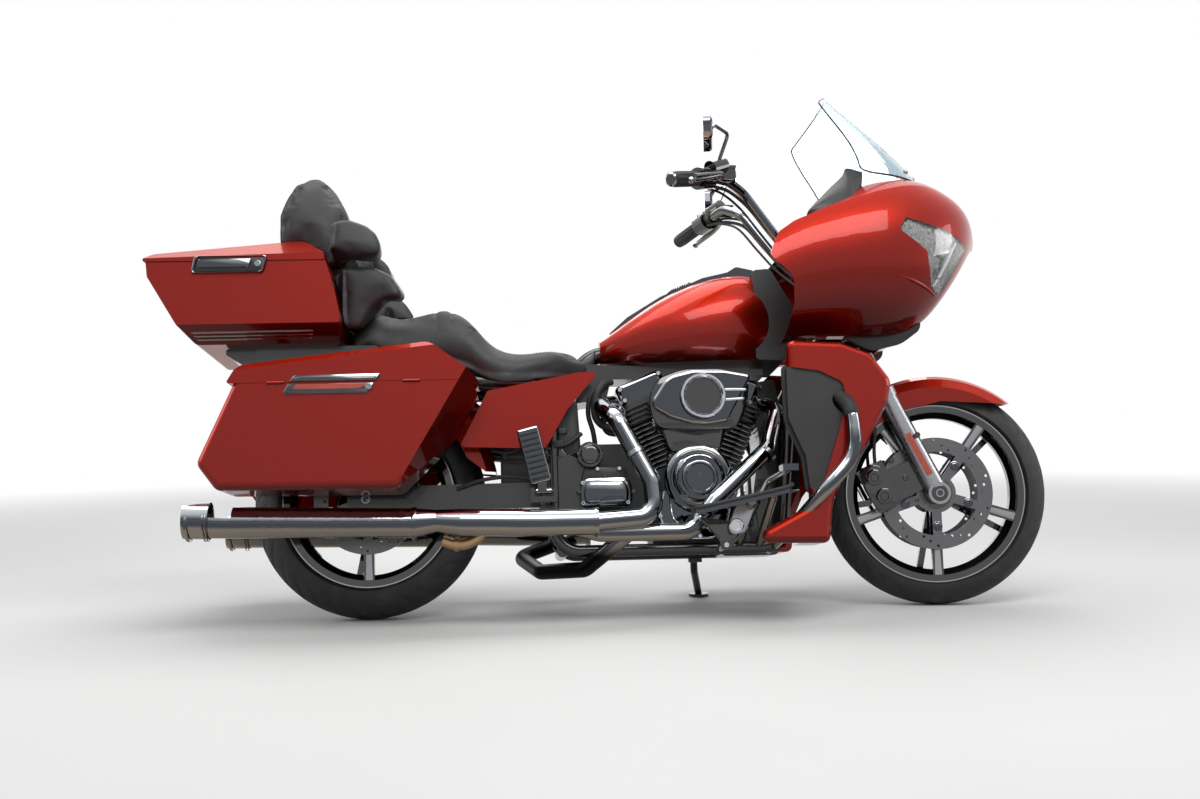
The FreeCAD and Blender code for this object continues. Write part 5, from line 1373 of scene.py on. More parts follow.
@dataclass
class Engine:
    """What the V-twin carries: pushrod tubes, fin edges, screws, covers, hoses and leads."""

    crank: tuple[float, float] = (915.0, 300.0)
    half_angle: float = 22.5
    base: float = 128.0
    pitch: float = 14.0
    fins: int = 10
    case_face: float = -168.5
    disc_face: float = -199.5
    disc: tuple[float, float] = (921.0, 363.0)
    cleaner: tuple[float, float] = (932.0, 583.0)

    def cylinder(self, side: float) -> tuple[Array, Array]:
        """Unit directions (x, z) up a cylinder and ahead of it; side is -1 at the rear, +1 at the front."""
        a = math.radians(self.half_angle) * side
        return np.array([math.sin(a), math.cos(a)]), np.array([math.cos(a), -math.sin(a)])

    def at(self, side: float, up: float, ahead: float, y: float) -> Array:
        """A point by a cylinder: crank + up u + ahead v, at a y."""
        u, v = self.cylinder(side)
        p = np.array(self.crank) + up * u + ahead * v
        return np.array([p[0], y, p[1]])

    @gathered
    def fin_edges(self) -> Iterator[Shape]:
        """The bright machined strips on the fins' right ends: round bars, tapered at both ends."""
        for side in SIDES:
            for n in range(self.fins):
                up = self.base + 6.0 + n * self.pitch
                for lo, hi in ((-82.0, -52.0), (-46.0, 46.0), (52.0, 82.0)):
                    line = np.array([self.at(side, up, v, -86.9) for v in np.linspace(lo, hi, 4)])
                    yield sweep(line, np.array([0.8, 1.3, 1.3, 0.8]), 6)

    @gathered
    def pushrods(self) -> Iterator[Shape]:
        """Four bright tubes from the lifter blocks to the heads, each with a collar and a spring cap."""
        for side in SIDES:
            for gap in (-15.0, 19.0):
                low = np.array([915 + side * 34 + gap, -121.0, 432.0])
                high = self.at(side, 318.0, -side * 44 + gap * 0.7, -116.0)
                way = (high - low) / np.linalg.norm(high - low)
                far = float(np.linalg.norm(high - low))
                profile = [(0, 14), (10, 14), (12, 11.5), (14, 8.6), (far * 0.44, 8.6), (far * 0.45, 10.8),
                           (far * 0.50, 10.8), (far * 0.51, 9.4), (far - 14, 9.4), (far - 12, 12.0),
                           (far, 12.0)]
                yield lathe(profile, low, way, 28)

    @gathered
    def lifter_blocks(self) -> Iterator[Shape]:
        """The two bright lifter covers above the timing case."""
        for side in SIDES:
            x = self.crank[0] + side * 36
            plan = rounded_outline([(x - 40, 404), (x + 40, 404), (x + 36, 438), (x - 36, 438)], 9)
            yield slab(plan, -98.0, -142.0, 6.0)
            yield bolts([(x + dx, z) for z in (412, 428) for dx in (-30, 30)], -141.5, -1, 5.2, 6.5)

    @gathered
    def cover_screws(self) -> Iterator[Shape]:
        """Screws round the timing cover, the transmission cover and the rocker boxes."""
        yield bolts(((812, 262), (860, 206), (920, 204), (978, 206), (1020, 324), (978, 416), (924, 424),
                     (868, 428)), -167.0, -1, 6.4, 7)
        x, z = self.disc
        turns = [math.radians(18 + 72 * n) for n in range(5)]
        yield bolts([(x + 52 * math.sin(a), z + 52 * math.cos(a)) for a in turns], self.disc_face, -1, 4.6, 5)
        yield bolts(((598, 356), (716, 352), (598, 300), (722, 300), (640, 394), (700, 394)),
                    -186.0, -1, 6.2, 9)
        for side in SIDES:
            for up, ahead in ((346, -60), (346, 60), (380, -60), (380, 60)):
                yield bolt(self.at(side, up, ahead, -92.0), (0, -1, 0), 7.0, 8)

    def round_cover(self) -> Shape:
        """The bare round cover on the timing case: stepped rings and a shallow dish, r(s) from the table."""
        disc = [(0, 62.5), (-3, 62.5), (-5, 60), (-5, 50), (-8, 48), (-9, 46), (-9, 40), (-6.5, 38),
                (-6.5, 12), (-7.5, 0.5)]
        shell = [(0, 96), (-8, 96), (-14, 93), (-17, 88), (-18, 80), (-15.5, 78), (-15.5, 73), (-20, 71),
                 (-24, 66), (-26, 60)]
        x, z = self.disc
        parts = ((disc, self.disc_face), (shell, self.case_face))
        return Shape.joined([lathe(profile, (x, y, z), steps=72) for profile, y in parts])

    @gathered
    def case_beads(self) -> Iterator[Shape]:
        """Bright beads round the timing case's foot and on its web, where the castings are rounded over."""
        foot = ((1012, 300), (985, 214), (960, 200), (872, 200), (836, 214), (812, 262), (824, 330))
        web = ((838, 318), (850, 250), (900, 226), (950, 228))
        for places, count, radius, sides in ((foot, 60, 3.4, 10), (web, 40, 2.6, 8)):
            yield sweep(smooth_path([(x, self.case_face, z) for x, z in places], count), radius, sides)

    def cleaner_ring(self) -> Shape:
        """The knurled ring of the air cleaner: radius r0 + k cos(60 a), so that its edge shows fine teeth."""
        a = np.linspace(0, 2 * math.pi, 360, endpoint=False)
        x, z = self.cleaner
        rows = []
        for y, r, knurl in ((-258.0, 62.0, 0.0), (-263.5, 62.0, 0.9), (-266.0, 60.0, 0.9),
                            (-266.0, 55.0, 0.0), (-262.0, 52.0, 0.0), (-262.0, 49.5, 0.0),
                            (-258.0, 47.5, 0.0)):
            rr = r + knurl * np.cos(60 * a)
            rows.append(np.column_stack([x + rr * np.cos(a), np.full(len(a), y), z + rr * np.sin(a)]))
        return grid_shape(np.stack(rows), wrap_u=True, wrap_v=True)

    def cleaner_face(self) -> Shape:
        """The bare black centre of the air cleaner, crowned by 2 mm."""
        x, z = self.cleaner
        crown = [(-1.0 - 2.0 * (1 - (r / 48) ** 2), r) for r in (47.8, 44.0, 30.0, 15.0, 0.6)]
        return lathe([(1.5, 47.8)] + crown, (x, -257.4, z), steps=64)

    def cleaner_bars(self) -> Shape:
        """Two ribs from the disc to the cover's front edge."""
        top = smooth_path([(990, -249.5, 600), (1020, -249.2, 600), (1056, -247.8, 599)], 12)
        low = smooth_path([(988, -249.5, 572), (1016, -249.2, 573), (1048, -247.8, 575)], 12)
        return Shape.joined([sweep(p, np.concatenate([[1.5], np.full(10, 4.0), [1.0]]), 10, 0.6)
                             for p in (top, low)])

    def cleaner_back(self) -> Shape:
        """The black back plate and intake housing behind the chrome cover."""
        outline = rounded_outline([(806, 500), (1030, 496), (1062, 560), (1070, 640), (1000, 668), (880, 668),
                                   (806, 640), (784, 572)], 30)
        neck = rounded_outline([(842, 436), (986, 436), (1010, 520), (818, 520)], 22)
        return Shape.joined([slab(outline, -100.0, -206.5, 8.0), slab(neck, -96.0, -176.0, 14.0)])

    def transmission_cover(self) -> Shape:
        """The black cover with rounded corners above the transmission's bright side cover."""
        outline = rounded_outline([(590, 346), (724, 346), (722, 398), (604, 404)], 16)
        return slab(outline, -110.0, -186.0, 7.0)

    @gathered
    def side_rim(self) -> Iterator[Shape]:
        """The transmission's bright side cover: a domed oval, a ledge round it and three screws."""
        ledge = rounded_outline([(594, 288), (732, 288), (736, 330), (728, 370), (600, 368), (590, 330)], 26)
        dome = rounded_outline([(604, 296), (720, 296), (726, 330), (716, 360), (610, 358), (600, 330)], 24)
        yield slab(ledge, -184.0, -192.5, 3.0)
        yield slab(dome, -190.0, -206.0, 9.0)
        yield bolts(((588, 332), (738, 330), (660, 374)), -186.0, -1, 6.0, 9)

    def starter(self) -> Shape:
        """The starter's stepped black end cap with its two screws."""
        profile = [(0, 35), (-4, 35), (-6, 33), (-6, 29), (-10, 27), (-14, 18), (-14, 0.6)]
        return Shape.joined([lathe(profile, (620, -195.0, 434)),
                             bolts(((596, 442), (644, 426)), -200.5, -1, 5, 5)])

    def hoses(self) -> Shape:
        """Black oil and vent hoses looping up behind the rear cylinder."""
        routes = (
            [(700, -118, 512), (662, -128, 522), (640, -128, 552), (644, -124, 604), (664, -112, 640),
             (690, -96, 652)],
            [(706, -104, 500), (676, -110, 506), (664, -112, 532), (672, -108, 560), (700, -98, 570)],
            [(640, -96, 470), (634, -100, 510), (622, -96, 560), (630, -86, 612), (660, -70, 648)])
        return Shape.joined([sweep(smooth_path(route, 48), radius, 14)
                             for route, radius in zip(routes, (11.0, 9.0, 7.0))])

    @gathered
    def leads(self) -> Iterator[Shape]:
        """Plug leads with ribbed caps, from the coil under the tank to each head."""
        for side, start in ((-1.0, (826, -70, 668)), (1.0, (1000, -70, 668))):
            plug = self.at(side, 300.0, -side * 62, -96.0)
            mid = (plug + np.array(start)) / 2 + np.array([-side * 14, -34, 4])
            yield sweep(smooth_path([start, mid, plug + np.array([0, -26, 10]), plug], 30), 4.2, 10)
            yield sweep(np.array([plug + np.array([0, -20, 8]), plug + np.array([0, 10, -2])]), 9.0, 14)

    @gathered
    def crank_details(self) -> Iterator[Shape]:
        """Black ribbed cam housing edge and sump plugs below the cylinders."""
        for x in (1030, 1052, 1074):
            outline = rounded_outline([(x - 5, 230), (x + 5, 230), (x + 2, 380), (x - 4, 372)], 4)
            yield slab(outline, -90.0, -116.0, 4.0)
        yield bolt((1046, -100, 206), (0, -1, 0), 12, 12)

    def build(self) -> None:
        """Makes every piece of the engine's dress."""
        make_piece("fin_edges", self.fin_edges(), MACHINED)
        make_piece("pushrod_tubes", self.pushrods(), CHROME)
        make_piece("lifter_covers", self.lifter_blocks(), CHROME)
        make_piece("engine_screws", self.cover_screws(), TRIM_CHROME, smooth=30)
        make_piece("timing_round_cover", self.round_cover(), CHROME, smooth=30)
        make_piece("timing_beads", self.case_beads(), TRIM_CHROME)
        make_piece("air_cleaner_ring", self.cleaner_ring(), TRIM_CHROME, smooth=30)
        make_piece("air_cleaner_face", self.cleaner_face(), GLOSS_BLACK)
        make_piece("air_cleaner_ribs", self.cleaner_bars(), TRIM_CHROME)
        make_piece("air_cleaner_back", self.cleaner_back(), GLOSS_BLACK)
        make_piece("transmission_top_cover", self.transmission_cover(), PLASTIC)
        make_piece("transmission_side_cover", self.side_rim(), CHROME)
        make_piece("starter_cap", self.starter(), GLOSS_BLACK)
        make_piece("engine_hoses", self.hoses(), GRIP)
        make_piece("plug_leads", self.leads(), GRIP)
        make_piece("crankcase_ribs", self.crank_details(), WRINKLE)


# Middle of the chassis

@dataclass
class Midships:
    """Battery box, belt guard, wiring and small pipes between the engine and the rear wheel."""

    @gathered
    def battery_box(self) -> Iterator[Shape]:
        """Black box under the seat with two ribs on its face."""
        plan = rounded_outline([(372, 350), (560, 350), (600, 420), (590, 600), (420, 640), (372, 560)], 18)
        yield both_sides(lambda side: slab(plan, side * 40.0, side * 128.0, 10.0))
        for z in (430, 500):
            rib = rounded_outline([(392, z), (560, z), (560, z + 18), (392, z + 18)], 6)
            yield slab(rib, -120.0, -136.0, 4.0)

    def belt_guard(self) -> Shape:
        """Black guard ahead of the rear wheel and below the side cover."""
        plan = rounded_outline([(338, 470), (470, 452), (520, 380), (560, 372), (566, 430), (500, 520),
                                (352, 540)], 16)
        return both_sides(lambda side: slab(plan, side * 128.0, side * 158.0, 8.0))

    @gathered
    def wiring(self) -> Iterator[Shape]:
        """Loom and hoses running along the frame rail."""
        routes = (
            [(350, -150, 455), (400, -164, 448), (450, -166, 470), (510, -160, 455), (560, -150, 470),
             (600, -130, 500)],
            [(360, -146, 430), (420, -160, 420), (480, -160, 440), (540, -158, 430), (590, -142, 450)],
            [(250, -150, 350), (320, -160, 372), (400, -164, 380), (470, -160, 372), (540, -150, 392)])
        for route, radius in zip(routes, (6.0, 4.5, 5.5)):
            yield sweep(smooth_path(route, 40), radius, 10)
        for x, z in ((430, 462), (520, 456)):
            plug = rounded_outline([(x, z), (x + 30, z + 4), (x + 28, z + 24), (x - 2, z + 20)], 5)
            yield slab(plug, -150.0, -176.0, 4.0)

    def drain_elbow(self) -> Shape:
        """The small bare-metal pipe elbow below the muffler cover."""
        path = smooth_path([(330, -214, 238), (310, -216, 214), (280, -218, 198), (246, -220, 196),
                            (214, -222, 206)], 40)
        flare = sweep(path, 17.0, 20)
        collar = lathe([(-6, 17.5), (-6, 21), (6, 21), (6, 17.5)], (252, -220, 196), (1, 0, -0.05), 32)
        return Shape.joined([flare, collar])

    def black_shade_fill(self) -> Shape:
        """Black sheets put in as painted shade ahead of the front cylinder and under the seat's nose, between
        the frame's sides.
        """
        front = rounded_outline([(1085, 640), (1160, 652), (1188, 430), (1168, 226), (1100, 206), (1086, 330),
                                 (1110, 470)], 14)
        low = rounded_outline([(990, 150), (1150, 150), (1180, 250), (1120, 300), (1010, 280)], 14)
        back = rounded_outline([(552, 590), (676, 604), (700, 700), (590, 712)], 12)
        return Shape.joined([slab(front, -88.0, 88.0, 5.0), slab(low, -80.0, 80.0, 5.0),
                             slab(back, -74.0, 74.0, 6.0)])

    def build(self) -> None:
        """Makes the pieces between engine and rear wheel."""
        make_piece("battery_box", self.battery_box(), PLASTIC)
        make_piece("belt_guards", self.belt_guard(), FRAME_BLACK)
        make_piece("chassis_wiring", self.wiring(), GRIP)
        # Black sheets standing in for the shade around the engine.
        make_piece("engine_side_covers", self.black_shade_fill(), FRAME_BLACK)
        make_piece("drain_elbow", self.drain_elbow(), BROWNED)


# Foot controls

@dataclass
class Boards:
    """Rubbers of the rider's floorboards and the passenger's folding boards."""

    def ribbed(self, corners: Sequence[Sequence[float]], ribs: int, lift: float) -> Shape:
        """A ribbed rubber mat between four corners: P(s, t) bilinear, raised square to itself.

        It rises by lift (0.4 + 0.6 |sin(pi ribs s)| ** 0.5), less towards its edges.

        Args:
            corners: four points in order round the mat, the first edge being walked by s.
            ribs: how many ribs.
            lift: their height.

        Returns:
            A closed mat.
        """
        a, b, c, d = (np.array(p, float) for p in corners)
        s = np.linspace(0, 1, ribs * 8 + 1)[:, None, None]
        t = np.linspace(0, 1, 9)[None, :, None]
        flat = (1 - s) * (1 - t) * a + s * (1 - t) * b + s * t * c + (1 - s) * t * d
        up = np.cross(b - a, d - a)
        up = up / np.linalg.norm(up)
        edge = np.minimum(1, 12 * np.minimum(t, 1 - t)) * np.minimum(1, 12 * np.minimum(s, 1 - s))
        rise = lift * (0.4 + 0.6 * np.abs(np.sin(math.pi * ribs * s)) ** 0.5) * edge
        top = flat + up * (rise + 0.4)
        under = flat - up * 1.0 + 0 * t
        grid = np.concatenate([top, under[:, ::-1]], axis=1)
        return grid_shape(grid, wrap_v=True, caps=True)

    @gathered
    def rider(self) -> Iterator[Shape]:
        """Both floorboards' mats and upturned front ends."""
        rear, front = (898, 263.5), (1124, 311.5)
        for side in SIDES:
            low, high = sorted((side * 298.0, side * 392.0))
            places = ((rear, low), (front, low), (front, high), (rear, high))
            yield self.ribbed([(x, y, z) for (x, z), y in places], 14, 4.0)

    @gathered
    def lips(self) -> Iterator[Shape]:
        """The black rubber edge round each board's rim, above the bright lower shell."""
        for s in SIDES:
            path = smooth_path([(886, s * 300, 266), (890, s * 398, 266), (1000, s * 402, 288),
                                (1120, s * 402, 313), (1142, s * 396, 322), (1143, s * 300, 323)], 70)
            yield sweep(path, 5.4, 10)

    def plate(self, side: float) -> Shape:
        """The cast plate under a board."""
        corners = ((1000, 276), (1056, 284), (1040, 240), (1024, 204), (988, 196), (976, 216))
        return slab(rounded_outline(corners, 12), side * 300.0, side * 328.0, 4.0)

    def plate_bolts(self, side: float) -> Shape:
        """The large round bolt on a plate and the screw behind it."""
        ring = [(0, 19), (side * 4, 19), (side * 6, 16), (side * 6, 11), (side * 3, 10), (side * 3, 0.5)]
        large = lathe(ring, (1000, side * 327.0, 222), steps=32)
        return Shape.joined([large, bolt((974, side * 300.0, 172), (0, side, 0), 8.0, 10)])

    @gathered
    def links(self) -> Iterator[Shape]:
        """Black arms from the frame to the brackets' bolts."""
        corners = ((900, 250), (1010, 232), (1012, 206), (984, 160), (960, 160), (956, 190))
        for s in SIDES:
            yield slab(rounded_outline(corners, 12), s * 262.0, s * 300.0, 5.0)
            yield sweep(np.array([(974, s * 296.0, 176), (974, s * 150.0, 168)]), 11.0, 14)

    @gathered
    def folding(self, side: float) -> Iterator[Shape]:
        """Ribs of rubber on the outer face of a folded passenger board, square to its length."""
        lean = math.radians(-14)
        up = np.array([math.sin(lean), 0.0, math.cos(lean)])
        ahead = np.array([math.cos(lean), 0.0, -math.sin(lean)])
        foot = np.array([490.0, side * 279.2, 330.0])
        for n in range(9):
            mid = foot + up * (36 + 15.5 * n)
            path = np.array([mid - ahead * 24, mid - ahead * 21, mid + ahead * 21, mid + ahead * 24])
            yield sweep(path, np.array([2.0, 3.4, 3.4, 2.0]), 8)

    def build(self) -> None:
        """Makes the mats, lips, brackets and ribs."""
        make_piece("floorboard_mats", self.rider(), GRIP)
        make_piece("floorboard_lips", self.lips(), GRIP)
        make_piece("floorboard_brackets", both_sides(self.plate), SATIN)
        make_piece("floorboard_bolts", both_sides(self.plate_bolts), TRIM_CHROME, smooth=30)
        make_piece("floorboard_arms", self.links(), GLOSS_BLACK)
        make_piece("passenger_ribs_right", self.folding(-1.0), GRIP, Body.BOARD_RIGHT)
        make_piece("passenger_ribs_left", self.folding(1.0), GRIP, Body.BOARD_LEFT)
        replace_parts(make_piece("engine_guards", self.guards(), CHROME), "crash_bars")
        make_piece("guard_sleeves", self.sleeves(), GRIP)

    def guard_line(self, side: float) -> Array:
        """The engine guard's line on one side, foot to top."""
        return smooth_path([(1125, side * 126, 172), (1150, side * 300, 214), (1222, side * 396, 300),
                            (1300, side * 404, 388), (1312, side * 402, 470), (1300, side * 380, 540),
                            (1250, side * 300, 592), (1186, side * 126, 600)], 140)

    @gathered
    def guards(self) -> Iterator[Shape]:
        """The chrome engine guards: r(u) swells from 15 to 19 mm in the outer bend."""
        for side in SIDES:
            line = self.guard_line(side)
            u = np.linspace(0, 1, len(line))
            yield sweep(line, 15.0 + 4.0 * np.exp(-((u - 0.42) / 0.2) ** 2), 24)

    @gathered
    def sleeves(self) -> Iterator[Shape]:
        """Black sleeves on the guards' upper run."""
        for side in SIDES:
            line = self.guard_line(side)[88:132]
            u = np.linspace(0, 1, len(line))
            yield sweep(line, 19.5 - 4.0 * np.maximum(0, np.abs(2 * u - 1) - 0.9) / 0.1, 20)


# Handlebar controls

@dataclass
class Controls:
    """Levers, switch housings, reservoirs, cables and mirror glass on the bar's two ends."""

    grip: tuple = ((1048, 214, 1231), (905, 442, 1180))

    def run(self, side: float) -> tuple[Array, Array, float]:
        """The bar's last run on one side: its inner point, its direction outwards and its length."""
        inner, outer = (np.array(p, float) * np.array([1, side, 1]) for p in self.grip)
        far = float(np.linalg.norm(outer - inner))
        return inner, (outer - inner) / far, far

    def lever(self, side: float) -> Shape:
        """A brake or clutch lever: a flattened bar ahead of the grip with a ball at its end."""
        inner, way, far = self.run(side)
        ahead = np.cross(way, [0, 0, 1.0])
        ahead = ahead / np.linalg.norm(ahead) * math.copysign(1.0, ahead[0])
        rows = ((0.34, 40, 2), (0.42, 60, 0), (0.60, 66, -6), (0.82, 62, -10), (1.01, 58, -12))
        path = smooth_path([inner + way * (far * share) + ahead * out + (0, 0, up)
                            for share, out, up in rows], 50)
        t = np.linspace(0, 1, 50)
        radius = 6.0 - 1.2 * np.sin(math.pi * t) + 3.2 * np.exp(-((t - 0.965) / 0.03) ** 2)
        radius[-1] = 4.0
        return sweep(path, radius, 14, 1.15)

    @gathered
    def housings(self, side: float) -> Iterator[Shape]:
        """Lever bracket, clamp and switch housing, two turned barrels on the bar."""
        inner, way, far = self.run(side)
        for start, end, r in ((0.24, 0.30, 24.0), (0.31, 0.47, 25.0)):
            wide = far * (end - start)
            profile = [(0, r - 8), (2, r - 1), (5, r), (wide - 5, r), (wide - 2, r - 1), (wide, r - 8)]
            yield lathe(profile, inner + way * far * start, way, 32)

    def reservoir(self, side: float) -> Shape:
        """The fluid reservoir on the bracket: a rounded box with a lid."""
        inner, way, far = self.run(side)
        x, y, z = inner + way * far * 0.20 + (34, 0, 8)
        box = rounded_outline([(x - 26, z - 16), (x + 28, z - 20), (x + 26, z + 16), (x - 24, z + 18)], 9)
        lid = rounded_outline([(x - 27, z + 14), (x + 28, z + 11), (x + 28, z + 19), (x - 27, z + 22)], 3)
        return Shape.joined([slab(box, y - 28, y + 28, 4.0), slab(lid, y - 31, y + 31, 2.0)])

    @gathered
    def keys(self, side: float) -> Iterator[Shape]:
        """Small switch keys on the housing's rider side."""
        inner, way, far = self.run(side)
        for share, up in ((0.34, 16), (0.39, 18), (0.44, 14), (0.36, 2), (0.42, 0)):
            at = inner + way * far * share + (-20, 0, up)
            yield lathe([(0, 6.5), (-5, 6.0), (-7, 4.2), (-7, 0.5)], at, (1, 0, -0.2), 16)

    @gathered
    def cables(self) -> Iterator[Shape]:
        """Brake hose, clutch line and two looms along the bar, down to the yokes."""
        route = ((1010, 262, 1206), (1052, 214, 1200), (1104, 150, 1168), (1160, 132, 1096),
                 (1212, 112, 1030), (1272, 62, 966), (1300, 48, 930))
        for side in SIDES:
            for dx, dz, radius in ((10, -10, 5.0), (18, 2, 4.0), (-12, -14, 3.6)):
                yield sweep(smooth_path([(x + dx, side * y, z + dz) for x, y, z in route], 60), radius, 10)

    def bar_end(self, side: float) -> Shape:
        """The stepped cap at a grip's outer end."""
        inner, way, far = self.run(side)
        return lathe([(0, 17), (3, 19), (7, 19), (11, 15), (12, 0.5)], inner + way * (far - 2), way, 28)

    def grip_ribs(self, side: float) -> Shape:
        """Raised rubber ribs along a grip: r(a, s) = 19.6 + (1 + 1.4 max(0, cos 10 a) ** 0.6) ease(s)."""
        inner, way, far = self.run(side)
        e1 = np.cross(way, [0, 0, 1.0])
        e1 = e1 / np.linalg.norm(e1)
        e2 = np.cross(way, e1)
        s = np.linspace(far - 124, far - 6, 30)
        a = np.linspace(0, 2 * math.pi, 120, endpoint=False)
        r = 19.6 + (1.0 + 1.4 * np.maximum(0, np.cos(10 * a)[None, :]) ** 0.6) * ease(s, 8)[:, None]
        turned = np.cos(a)[None, :, None] * e1 + np.sin(a)[None, :, None] * e2
        return grid_shape(inner + s[:, None, None] * way + r[..., None] * turned, wrap_v=True, caps=True)

    def mirror_glass(self, side: float) -> Shape:
        """The reflecting face of a mirror, towards the rider: rings of a rounded oblong, drawn in."""
        a = np.linspace(0, 2 * math.pi, 72, endpoint=False)
        across, up = (np.sign(v) * np.abs(v) ** 0.8 for v in (np.cos(a), np.sin(a)))
        rows = [np.column_stack([np.full(len(a), x), side * 444 + k * 62 * across, 1303 + k * 36 * up])
                for k, x in ((1.0, 991.6), (0.985, 990.6), (0.6, 990.2), (0.3, 990.0), (0.01, 990.0))]
        return grid_shape(np.stack(rows), wrap_v=True, caps=True)

    def build(self) -> None:
        """Makes every piece of the controls."""
        for name, shape, finish in (
                ("hand_levers", both_sides(self.lever), CHROME),
                ("switch_housings", both_sides(self.housings), PLASTIC),
                ("fluid_reservoirs", both_sides(self.reservoir), GLOSS_BLACK),
                ("switch_keys", both_sides(self.keys), PLASTIC),
                ("bar_cables", self.cables(), GRIP),
                ("bar_ends", both_sides(self.bar_end), CHROME),
                ("grip_ribs", both_sides(self.grip_ribs), GRIP),
                ("mirror_glasses", both_sides(self.mirror_glass), MIRROR)):
            make_piece(name, shape, finish, Body.STEERING)


# Fairing

@dataclass
class Fairing:
    """Lamps, vents, cowl, dash and screen trim of the frame-mounted fairing."""

    datum: float = 1400.0
    lens: tuple = ((62, 1006), (84, 1041), (220, 1012), (290, 985), (194, 843), (160, 865), (142, 951))
    dial_face: tuple = ((-56.0, 1108.0), (-5.0, 1172.0))

    def bowl(self, skin: Surface, side: float) -> Shape:
        """The lamp's tray behind the glass: rings of the lens outline, drawn in and sunk.

        P(k, t) = thrown(m + k (o(t) - m)), less the ring's depth.
        """
        outline = rounded_outline(self.lens + np.array([self.datum, 0.0]), 10, 8)
        middle = np.array([1560.0, 960.0])
        rings = []
        for k, lift in ((0.985, -9.0), (0.93, -14.0), (0.86, -30.0), (0.6, -34.0), (0.3, -35.0),
                        (0.03, -35.0)):
            rings.append(skin.side(middle + k * (outline - middle), side * OUTSIDE, lift))
        back = [ring + np.array([0, -side * 2.5, 0]) for ring in rings[::-1]]
        return grid_shape(np.stack(rings + back), wrap_v=True, caps=True)

    @gathered
    def projector(self, skin: Surface, side: float) -> Iterator[Shape]:
        """Two stepped lamp units that look ahead and outwards, one above the other."""
        for x, z, r in ((1588, 968, 25.0), (1578, 906, 21.0)):
            at = skin.side(np.array([[x, z]], float), side * OUTSIDE, -34.0)[0]
            way = np.array([0.62, side * 0.78, -0.06])
            profile = [(-4, r), (9, r), (11, r - 2), (13, r - 2), (14, r - 4), (10, r - 6), (8, r * 0.5),
                       (11, r * 0.2), (11.5, 0.4)]
            yield lathe(profile, at, way, 40)

    @gathered
    def light_bar(self, skin: Surface, side: float) -> Iterator[Shape]:
        """The white running-light strip down the lamp's front edge and the flutes of the turn signal."""
        edge = np.array([(1640, 990), (1612, 940), (1580, 884), (1566, 868)], float)
        line = skin.side(edge, side * OUTSIDE, -16.0)
        yield sweep(smooth_path(line, 24), 5.0, 10)
        for z0 in (1016, 1024, 1008):
            row = skin.side(np.array([(1484, z0 + 2), (1520, z0 - 3), (1560, z0 - 12)], float),
                            side * OUTSIDE, -25.0)
            yield sweep(row, 2.4, 8)

    def cowl(self, skin: Surface, side: float) -> Shape:
        """The black panel from the shell's rear edge up to the screen's foot.

        P(s, t) = (1 - t) low(s) + t high(s), with a bulge 6 sin(pi t) outwards and a second layer inside.
        """
        low_xz = np.array([(1222, 1062), (1290, 1088), (1344, 1110), (1376, 1142), (1404, 1172)], float)
        low = smooth_path(skin.side(low_xz, side * OUTSIDE, -3.0), 24)
        high = smooth_path([(1232, side * 352, 1080), (1290, side * 322, 1142), (1340, side * 286, 1192),
                            (1360, side * 262, 1222), (1408, side * 250, 1214)], 24)
        t = np.linspace(0, 1, 12)[:, None, None]
        outer = (1 - t) * low + t * high + np.array([0, side * 1.0, 0.35]) * 6 * np.sin(math.pi * t)
        inner = outer - np.array([0, side * 4.0, 0])
        ring = np.concatenate([outer, inner[::-1]], axis=0)
        return grid_shape(np.swapaxes(ring, 0, 1), wrap_v=True, caps=True)

    def chin(self, side: float) -> Shape:
        """The black lower edge of the fairing, outside the sweep of the fork."""
        outline = rounded_outline([(1318, 752), (1368, 726), (1410, 704), (1500, 724), (1556, 764),
                                   (1556, 800), (1380, 800)], 18)
        return slab(outline, side * 217.0, side * 227.0, 3.0)

    @gathered
    def creases(self, skin: Surface) -> Iterator[Shape]:
        """A raised accent line low on each flank of the shell, tapered at its ends."""
        for side in SIDES:
            xz = np.column_stack([np.linspace(1448, 1592, 40), 884 - 44 * np.linspace(0, 1, 40) ** 1.3])
            line = skin.side(xz, side * OUTSIDE, -3.0)
            size = 5.6 * np.sin(math.pi * np.linspace(0.02, 0.98, 40)) ** 0.5
            yield sweep(line, size, 10, 1.0)

    @gathered
    def vent(self, skin: Surface) -> Iterator[Shape]:
        """The black air slot under the screen, with three slats, laid on the shell from above."""
        rim = rounded_outline([(1632, -74), (1632, 74), (1676, 58), (1676, -58)], 16)
        middle = rim.mean(0)
        rings = []
        for k, lift in ((1.0, -1.0), (0.98, 2.4), (0.86, 2.6), (0.8, -2.0), (0.4, -3.0), (0.02, -3.0)):
            rings.append([(x, y, skin.top(x, y, 1180.0) + lift) for x, y in middle + k * (rim - middle)])
        yield grid_shape(np.array(rings), wrap_v=True, caps=True)
        for x in (1643, 1654, 1665):
            yield sweep(np.array([(x, y, skin.top(x, y, 1180.0) + 1.0) for y in np.linspace(-52, 52, 14)]),
                        2.0, 8)

    def dial_place(self, y: float, share: float, lift: float) -> tuple[Array, Array]:
        """A point on the sloping dash face and the face's outward direction."""
        (x0, z0), (x1, z1) = self.dial_face
        way = np.array([-(z1 - z0), 0.0, x1 - x0])
        way = way / np.linalg.norm(way)
        at = np.array([self.datum + x0 + (x1 - x0) * share, y, z0 + (z1 - z0) * share])
        return at + way * lift, way

    def dials(self, make: Callable[[Array, Array, float], Shape]) -> Shape:
        """One kind of part for each of the dash's four instruments, made from its middle, way and radius."""
        places = ((-66.0, 37.0), (66.0, 37.0), (-146.0, 22.0), (146.0, 22.0))
        return Shape.joined([make(*self.dial_place(y, 0.5, 0.0), r) for y, r in places])

